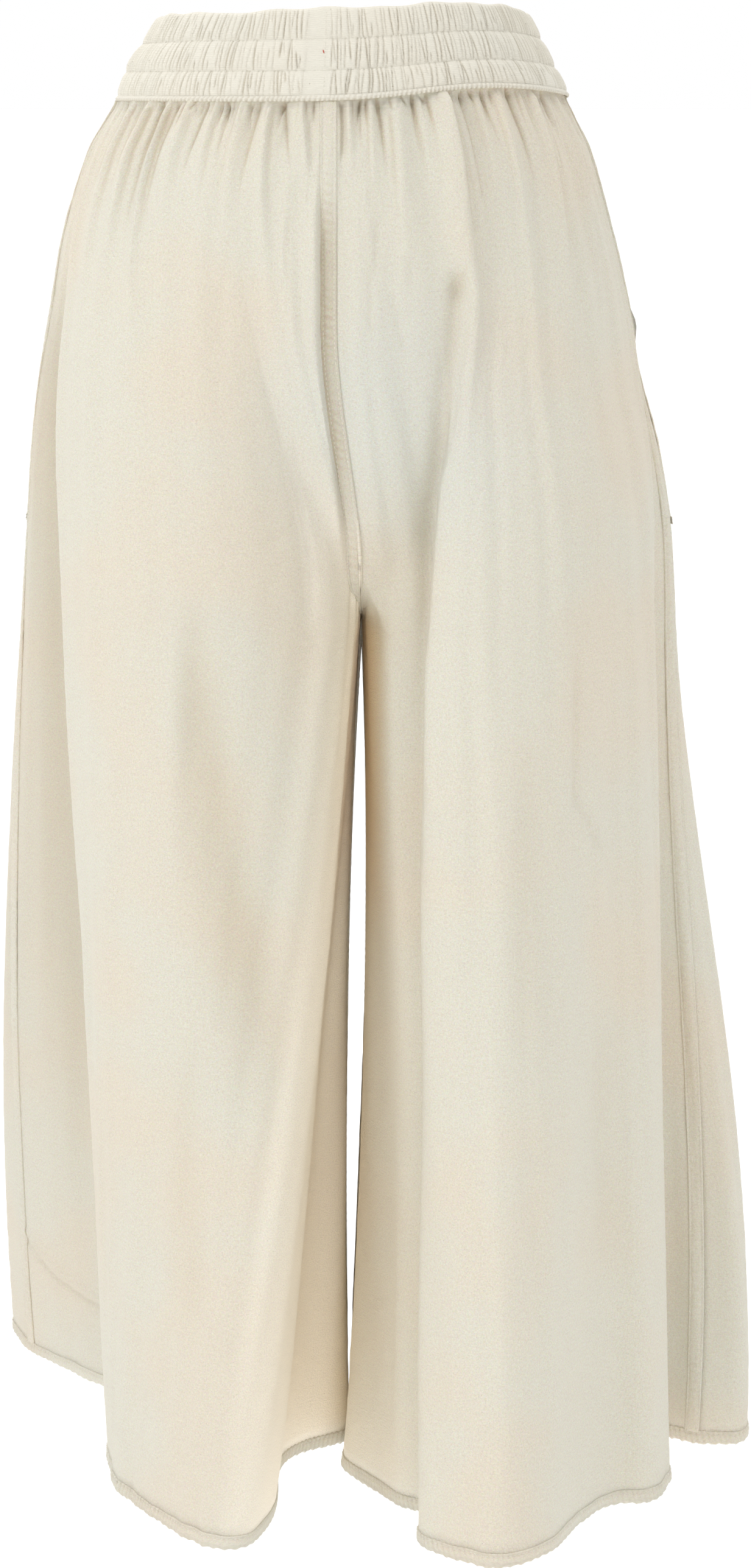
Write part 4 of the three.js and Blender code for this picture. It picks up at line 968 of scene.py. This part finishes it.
def stitching(name, rows, pitch=3.0, length=2.2, width=0.55, height=0.42, material=None):
    """Copies the stitch along rows; a row is its points and the cloth's outward directions there."""
    points, faces = [], []
    for k, (line, out) in enumerate(rows):
        run = np.r_[0, np.cumsum(np.linalg.norm(np.diff(line, axis=0), axis=1))]
        at = np.arange(pitch * 0.5, run[-1] - pitch * 0.4, pitch)
        at = at + 0.12 * pitch * (spread(np.arange(len(at)) + 7 * k) - 0.5)
        middle, way = along_row(line, at, run), along_row(line, at + 0.4, run) - along_row(line, at - 0.4, run)
        way /= np.linalg.norm(way, axis=1, keepdims=True)
        up = along_row(out, at, run)
        beside = np.cross(up, way)
        beside /= np.linalg.norm(beside, axis=1, keepdims=True)
        up = np.cross(way, beside)
        for m, w, b, n in zip(middle, way, beside, up):
            first = len(points) * len(stitch_points)
            points.append(m + stitch_points @ np.stack([w * length, b * width, n * height]))
            faces += [[first + v for v in face] for face in stitch_faces]
    mesh = bpy.data.meshes.new(name)
    mesh.from_pydata((np.concatenate(points) * MM).tolist(), [], faces)
    piece = bpy.data.objects.new(name, mesh)
    scene.collection.objects.link(piece)
    bpy.ops.object.select_all(action="DESELECT")
    bpy.context.view_layer.objects.active = piece
    piece.select_set(True)
    bpy.ops.object.shade_smooth()
    mesh.materials.append(material or cotton_thread)
    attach(piece, "root")
    return piece


def fell_rows(leg, edge, top, foot):
    """The two rows of stitches on a felled strip."""
    z = np.arange(top, foot, -2.0)
    rows = []
    for inset in ROW_INSETS:
        place, out = fell_place(leg, edge, np.full_like(z, inset), z)
        rows.append((place + out * 0.62, out))
    return rows


stitching("stitches_centre", fell_rows(LEGS["left"], "back", -4, -314) + fell_rows(LEGS["right"], "front", -4, -314))
for leg_name in ("left", "right"):
    leg = LEGS[leg_name]
    stitching("stitches_side_" + leg_name, fell_rows(leg, "side_back", -4, HEM_Z + HEM_DEPTH))
    stitching("stitches_inside_" + leg_name, fell_rows(leg, "back", -326, HEM_Z + HEM_DEPTH))

# ------------------------------------------------------------------------------------------------
# The hems: the foot of each leg turned up twice, 8 mm deep, and stitched round close to the fold's top.
# The turned cloth is three layers thick and puckers along the stitches like a rope.
# ------------------------------------------------------------------------------------------------
HEM_SECTION = np.array([  # height above the leg's foot, and how far it stands out from the panel's face
    (8.5, -0.35), (8.3, 0.3), (7.8, 0.72), (7.1, 0.62), (6.5, 0.4), (5.9, 0.62), (4.6, 0.8), (3.0, 0.85),
    (1.6, 0.85), (0.6, 0.6), (0.0, 0.0), (0.0, -0.8), (0.6, -1.45), (2.5, -1.7), (5.6, -1.7), (7.6, -1.65),
    (8.4, -1.25),
])
PUCKERS = 3.7  # from one pucker to the next along the hem
for leg_name, round_hem in (("left", 1.14), ("right", 1.15)):
    leg = LEGS[leg_name]
    fine = np.linspace(0, 2, 4001)
    line = cloth(leg, fine, np.full_like(fine, HEM_Z + 4))
    run = np.r_[0, np.cumsum(np.linalg.norm(np.diff(line, axis=0), axis=1))]
    arc = np.linspace(0, run[-1], 1081)[:-1]
    u = np.interp(arc, run, fine)[None]
    up, out_by = HEM_SECTION[:, :1], HEM_SECTION[:, 1:]
    z = HEM_Z + up + 0 * u
    phase = arc / PUCKERS + 0.5 * np.sin(arc / 23) + 0.35 * np.sin(arc / 9.1)
    rope = np.sin(2 * np.pi * (phase[None] + up * 0.09)) * (0.55 + 0.45 * np.sin(arc / 57 + leg["seed"]))[None]
    outer_side = ease((out_by + 0.5) / 0.9)
    long_wave = 0.35 * np.sin(arc / 13 + 2)[None] * (1 - ease(up / 4))
    edge_wave = 0.3 * np.sin(2 * np.pi * arc / PUCKERS * 0.5 + 1)[None] + long_wave
    points = cloth(leg, u, z)
    points = points + cloth_normal(leg, u, z) * (out_by + 0.5 * rope * outer_side * ease(up / 1.2))[..., None]
    points[..., 2] += (1.3 * edge_wave + 0.35 * rope) * (1 - ease(up / 5)) + 0.3 * rope * ease((up - 7) / 1)
    # Painted shade in the hollows between the puckers and under the top of the fold.
    hollow = np.clip(-0.5 * rope, 0, 1) * outer_side + 0.25 * bell((up - 6.4) / 0.7) * outer_side
    hem = grid_piece("hem_" + leg_name, points, ring_across=True, ring_down=True, turned=leg["sign"] < 0,
        shades={"painted_crease_shade": np.clip(hollow, 0, 1)})
    hem.data.materials.append(plain_weave)
    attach(hem, "root")
    u = u[0]
    z = np.full_like(u, HEM_Z + 6.5)
    out = cloth_normal(leg, u, z)
    stitching("stitches_hem_" + leg_name, [(cloth(leg, u, z) + out * 0.5, out)], pitch=2.9)

# ------------------------------------------------------------------------------------------------
# The pockets in the side seams: the front panel's edge is turned in and stitched twice along the mouth,
# bar tacks hold both ends, and a bag of the same cotton, two plies deep, hangs inside the front panel.
# ------------------------------------------------------------------------------------------------
for leg_name in ("left", "right"):
    leg = LEGS[leg_name]
    felled_strip("mouth_edge_" + leg_name, leg, "side_front", POCKET_TOP + 2, POCKET_FOOT - 4, 2.4, 0.1)
    rows = fell_rows(leg, "side_front", POCKET_TOP, POCKET_FOOT - 2)
    bars = []
    for z in (POCKET_TOP - 1, POCKET_FOOT - 3):
        for k in range(9):
            s = np.linspace(0.2, 9.0, 8)
            level = np.full_like(s, z + 0.55 * (k - 4))
            u = at_edge(leg, "side_front", s, level)
            out = cloth_normal(leg, u, level)
            bars.append((cloth(leg, u, level) + out * 1.15, out))
    stitching("stitches_mouth_" + leg_name, rows)
    stitching("bar_tacks_" + leg_name, bars, pitch=8.0, length=8.6, width=0.7, height=0.7)

    # the bag: out along one ply, round the fold, and back along the other
    across = np.concatenate([np.linspace(0, 1, 22), [1.012], np.linspace(1, 0, 22)])[None]
    ply = np.concatenate([np.zeros(22), [0.5], np.ones(22)])[None]
    down = np.linspace(0, 1, 40)[:, None]
    u = mix(0.985, 1.36, across)
    top = POCKET_TOP + 4 - 8 * np.sin(np.clip(across, 0, 1) * np.pi)
    foot = POCKET_FOOT - 6 - 44 * np.sin(np.minimum(1, across * 1.25) * np.pi * 0.6)
    z = mix(top, foot, down)
    depth = CLOTH + 0.35 + mix(0.3, 2.6, ease(across / 0.3)) + 1.15 * ply + 0.25 * np.sin(9 * across + 5 * down)
    points = cloth(leg, u + 0 * z, z) - cloth_normal(leg, u + 0 * z, z) * depth[..., None]
    bag = grid_piece("bag_" + leg_name, points, turned=leg["sign"] < 0)
    bag.data.materials.append(plain_weave)
    apply_modifier(bag, "SOLIDIFY", thickness=0.7 * MM, offset=-1, use_even_offset=False)
    bpy.ops.object.shade_smooth()
    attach(bag, "root")
    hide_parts("pocket_bag_" + leg_name)

# ------------------------------------------------------------------------------------------------
# The waistband: a band of cotton knit folded over elastic and sewn through in three channels, so that it
# draws up into hundreds of small upright creases. It is joined at the centre back, where it lies flat,
# and a rolled welt covers the seam to the panels.
# ------------------------------------------------------------------------------------------------
BAND_HEIGHT = 53.0
CHANNELS = ((1.9, 16.5), (16.5, 35.0), (35.0, 53.4))
BAND_COLUMNS = 1560
JOIN = 0.108  # radians from the middle of the back to the join


def band_ring(angle, h):
    """The smooth ring that the band follows at a height above the waist seam."""
    t = np.clip(h / BAND_HEIGHT, 0, 1.05)
    belly = 3 * bell((h - 22) / 13) * np.clip(np.sin(angle), 0, 1) ** 2
    half = mix(140, 114, t ** 0.92) + belly
    depth = np.where(np.cos(angle) > 0, mix(103, 84, t ** 0.92), mix(96, 80, t ** 0.92))
    return half * np.sin(angle), np.cos(angle) * depth


def band_point(angle, h, push):
    """Points of the band, pushed out from its ring by millimetres."""
    x, y = band_ring(angle, h)
    ax, ay = band_ring(angle + 0.01, h)
    length = np.hypot(ax - x, ay - y)
    out_x, out_y = (y - ay) / length, (ax - x) / length
    rise = seam_rise(x, y) * (1 - 0.35 * h / BAND_HEIGHT)
    dip = 4 * np.sin(angle) ** 4 * (h / BAND_HEIGHT) ** 2
    wavy = -3.0 * bell((x - 64) / 13) * (y > 0) + 0.5 * np.sin(angle * 11 + 1) + 0.4 * np.sin(angle * 23)
    wavy = wavy * ease((h - 30) / 23)
    return np.stack([x + out_x * push, y + out_y * push, h + rise - dip + wavy], -1)


angle = np.linspace(0, 2 * np.pi, BAND_COLUMNS + 1)[:-1]
x, y = band_ring(np.linspace(0, 2 * np.pi, BAND_COLUMNS + 1), 26.0)
arc = np.r_[0, np.cumsum(np.hypot(np.diff(x), np.diff(y)))]
band_round, arc = arc[-1], arc[:-1]
heights = np.concatenate([
    [-1.5, -1.25, -0.7, 0.1, 0.9, 1.5, 1.9],
    *[mix(a, b, np.array([0.045, 0.13, 0.25, 0.38, 0.5, 0.62, 0.75, 0.87, 0.955, 1.0])) for a, b in CHANNELS[:2]],
    mix(*CHANNELS[2], np.array([0.045, 0.13, 0.25, 0.38, 0.5, 0.62, 0.75, 0.86, 0.94, 0.985, 1.0])),
])
outward = np.zeros((len(heights), BAND_COLUMNS))
sunk = np.zeros((len(heights), BAND_COLUMNS))
flat = 1 - ease((np.abs(np.angle(np.exp(1j * (angle - JOIN)))) - 0.045) / 0.02)
for row, h in enumerate(heights):
    if h < CHANNELS[0][0]:  # the welt
        bulge = 0.5 + 0.9 * math.sqrt(max(0, 1 - ((h - 0.1) / 1.75) ** 2))
        pucker = np.sin(2 * np.pi * (arc / 2.6 + 0.5 * np.sin(arc / 17) + 0.3 * np.sin(arc / 5.3) + 0.13 * h))
        pucker = pucker * (0.65 + 0.35 * np.sin(arc / 31))
        outward[row] = bulge + 0.4 * pucker * (h > -1.4) - 0.6 * np.sin(angle) ** 6
        sunk[row] = np.clip(-pucker * 0.7 + 0.5 * (h < -0.6), 0, 1)
        continue
    channel = next(k for k, (a, b) in enumerate(CHANNELS) if h <= b + 0.01)
    a, b = CHANNELS[channel]
    t = (h - a) / (b - a)
    edge = abs(2 * t - 1) if channel < 2 or t < 0.5 else 0.9 * (2 * t - 1)
    outward[row] = 0.35 + 1.9 * (1 - edge ** 3.4)
    if channel == 2 and t > 0.95:
        outward[row] -= 0.9 * (t - 0.95) / 0.05
    drawn = np.zeros(BAND_COLUMNS)
    place, k = 0.0, 0
    while place < band_round - 1.5:
        r = [float(spread(1000 * channel + 31 * k + n)) for n in range(7)]
        start, stop = (
            (0, 1) if r[3] < 0.78 else (0, mix(0.35, 0.75, r[5])) if r[3] < 0.9 else (mix(0.25, 0.6, r[5]), 1)
        )
        life = ease((t - start + 0.02) / 0.12) * ease((stop + 0.02 - t) / 0.12) if (start, stop) != (0, 1) else 1
        lean = (mix(-0.9, 0.9, r[1]) + 0.5 * math.sin(place / 40 + channel)) * (t - 0.5) * 2
        lean += (r[6] - 0.5) * (2 * t - 1) ** 2
        off = (arc - place - lean + band_round / 2) % band_round - band_round / 2
        near = np.abs(off) < 6
        deep = mix(0.75, 1.8, r[2] ** 1.3) * life
        width = mix(0.3, 0.46, r[4])
        drawn[near] = np.maximum(drawn[near],
            deep * (0.86 * np.exp(-np.abs(off[near] / width) ** 1.4) + 0.14 * bell(off[near] / 1.3)))
        place += mix(1.6, 3.9, r[0] ** 1.2)
        k += 1
    gathered = 1 if channel < 2 or t < 0.9 else 1 - 0.5 * (t - 0.9) / 0.1
    drawn = np.minimum(drawn, 2.6) * (1 - flat) * gathered * (0.5 + 0.5 * (1 - edge ** 4))
    sunk[row] = np.clip((drawn - 0.25) / 1.1, 0, 1)
    outward[row] -= drawn
    outward[row] -= flat * (0.85 * (1 - edge ** 3.4))
inner_heights = np.array([53.2, 44.0, 35.0, 26.0, 16.5, 8.0, 0.2, -1.1])
inner_push = np.array([-0.9, -1.5, -1.3, -1.6, -1.3, -1.6, -1.4, -0.6])
h = np.concatenate([heights, inner_heights])[:, None]
push = np.concatenate([outward, np.broadcast_to(inner_push[:, None], (len(inner_push), BAND_COLUMNS))])
points = band_point(angle[None], h + 0 * push, push)
uv_down = np.cumsum(np.r_[0, np.abs(np.diff(h[:, 0])) + 0.001])
uv_down = np.r_[uv_down, uv_down[-1] + 1.5]
uv = np.stack(np.broadcast_arrays(np.r_[arc, band_round][None], uv_down[:, None]), -1)
# The band is painted darker in its creases and in the welt's puckers: painted shade.
band = grid_piece("band_knit", points, ring_across=True, ring_down=True, turned=True, uv=uv,
    shades={"painted_crease_shade": np.concatenate([sunk, 0 * push[len(heights):]])})

# Unbleached cotton jersey over elastic: matt, cooler than the panels, with the knit's courses 1.1 mm apart
# running round, every rib breaking them, and a few husk flecks.
knit, tree, shader = new_material("unbleached_cotton_jersey_knit")
cloth_uv = node(tree, "ShaderNodeUVMap", {"uv_map": "cloth"})
mm = node(tree, "ShaderNodeVectorMath", {"operation": "SCALE"}, {"Scale": 1000.0}, {"Vector": cloth_uv.outputs["UV"]})
lay = node(tree, "ShaderNodeSeparateXYZ", None, None, {"Vector": mm.outputs["Vector"]})
uneven = node(tree, "ShaderNodeTexNoise", None, {"Scale": 0.35, "Detail": 2.0}, {"Vector": mm.outputs["Vector"]})
drifted = node(tree, "ShaderNodeMath", {"operation": "MULTIPLY_ADD"}, {1: 0.9},
    {0: uneven.outputs["Fac"], 2: lay.outputs["Y"]})
turns = node(tree, "ShaderNodeMath", {"operation": "MULTIPLY"}, {1: 2 * math.pi / 1.1}, {0: drifted.outputs["Value"]})
courses = node(tree, "ShaderNodeMath", {"operation": "SINE"}, None, {0: turns.outputs["Value"]})
stitch_lay = node(tree, "ShaderNodeMapping", None, {"Scale": (1.3, 0.5, 1)}, {"Vector": mm.outputs["Vector"]})
loops = node(tree, "ShaderNodeTexNoise", None, {"Scale": 1.0, "Detail": 3.0, "Roughness": 0.65},
    {"Vector": stitch_lay.outputs["Vector"]})
place = node(tree, "ShaderNodeTexCoord")
wide = node(tree, "ShaderNodeTexNoise", None, {"Scale": 22.0, "Detail": 2.0}, {"Vector": place.outputs["Object"]})
cream = node(tree, "ShaderNodeMix", {"data_type": "RGBA"}, {"A": linear("#DFDCD0"), "B": linear("#E0D9CA")},
    {"Factor": wide.outputs["Fac"]})
# Painted shade in the creases of the band.
painted_crease_shade = node(tree, "ShaderNodeAttribute", {"attribute_name": "painted_crease_shade"})
crease_shade_amount = node(tree, "ShaderNodeMath", {"operation": "MULTIPLY"}, {1: 0.46}, {0: painted_crease_shade.outputs["Fac"]})
tint = node(tree, "ShaderNodeMix", {"data_type": "RGBA"}, {"B": linear("#A8997C")},
    {"Factor": crease_shade_amount.outputs["Value"], "A": cream.outputs["Result"]})
height = node(tree, "ShaderNodeMath", {"operation": "MULTIPLY_ADD"}, {1: 0.35},
    {0: courses.outputs["Value"], 2: loops.outputs["Fac"]})
lit = node(tree, "ShaderNodeMapRange", None,
    {"From Min": 0.0, "From Max": 1.0, "To Min": 0.955, "To Max": 1.03}, {"Value": height.outputs["Value"]})
shaded = node(tree, "ShaderNodeVectorMath", {"operation": "SCALE"}, None,
    {"Vector": tint.outputs["Result"], "Scale": lit.outputs["Result"]})
fleck = node(tree, "ShaderNodeTexVoronoi", None, {"Scale": 0.11}, {"Vector": mm.outputs["Vector"]})
small = node(tree, "ShaderNodeMath", {"operation": "LESS_THAN"}, {1: 0.05}, {0: fleck.outputs["Distance"]})
faint = node(tree, "ShaderNodeMath", {"operation": "MULTIPLY"}, {1: 0.45}, {0: small.outputs["Value"]})
flecked = node(tree, "ShaderNodeMix", {"data_type": "RGBA"}, {"B": linear("#94866E")},
    {"Factor": faint.outputs["Value"], "A": shaded.outputs["Vector"]})
tree.links.new(flecked.outputs["Result"], shader.inputs["Base Color"])
bump = node(tree, "ShaderNodeBump", None, {"Strength": 0.5, "Distance": 0.0004}, {"Height": height.outputs["Value"]})
tree.links.new(bump.outputs["Normal"], shader.inputs["Normal"])
shader.inputs["Roughness"].default_value = 0.94
shader.inputs["Specular IOR Level"].default_value = 0.2
shader.inputs["Sheen Weight"].default_value = 0.12
shader.inputs["Sheen Roughness"].default_value = 0.6
band.data.materials.append(knit)
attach(band, "root")
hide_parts("waistband")

# The rows of stitches that close the channels, in their grooves, and the join's own row down the back.
rows = []
for level, _ in CHANNELS[1:]:
    line = band_point(np.linspace(0, 2 * np.pi, 900), np.full(900, level), np.full(900, 0.42))
    out = band_point(np.linspace(0, 2 * np.pi, 900), np.full(900, level), np.full(900, 1.42)) - line
    rows.append((line, out))
stitching("stitches_channels", rows, pitch=2.6, length=1.9, width=0.5, height=0.4)
rows = []
for a, b in CHANNELS:
    h = np.linspace(a + 1.5, b - 1.5, 12)
    push = 0.35 + 1.05 * (1 - np.abs(2 * (h - a) / (b - a) - 1) ** 3.4) + 0.05
    line = band_point(np.full(12, JOIN - 0.033), h, push)
    rows.append((line, band_point(np.full(12, JOIN - 0.033), h, push + 1) - line))
stitching("stitches_join", rows, pitch=2.7, length=2.0, width=0.5, height=0.35)

# ------------------------------------------------------------------------------------------------
# The tack: a snipped end of red thread, 2.5 mm long, from the stitch that marked the join when the band
# was cut. The seam has caught it, and it stands up from the knit.
# ------------------------------------------------------------------------------------------------
# Polyester sewing thread: dyed red, twisted, with a slight shine.
red_thread, tree, shader = new_material("polyester_thread_twisted")
place = node(tree, "ShaderNodeTexCoord")
plies = node(tree, "ShaderNodeTexWave", {"bands_direction": "DIAGONAL"}, {"Scale": 1100.0},
    {"Vector": place.outputs["Object"]})
shade = node(tree, "ShaderNodeMix", {"data_type": "RGBA"}, {"A": linear("#A8402F"), "B": linear("#CC5A46")},
    {"Factor": plies.outputs["Fac"]})
tree.links.new(shade.outputs["Result"], shader.inputs["Base Color"])
shader.inputs["Roughness"].default_value = 0.5
spot = band_point(np.array([JOIN - 0.028, JOIN - 0.021]), np.array([26.6, 29.0]), np.array([1.45, 1.75]))
stitching("tack_thread", [(np.stack([spot[0], spot.mean(0), spot[1]]), np.array([[0.1, 1.0, 0.0]] * 3))],
    pitch=1.9, length=2.5, width=0.75, height=0.7, material=red_thread)
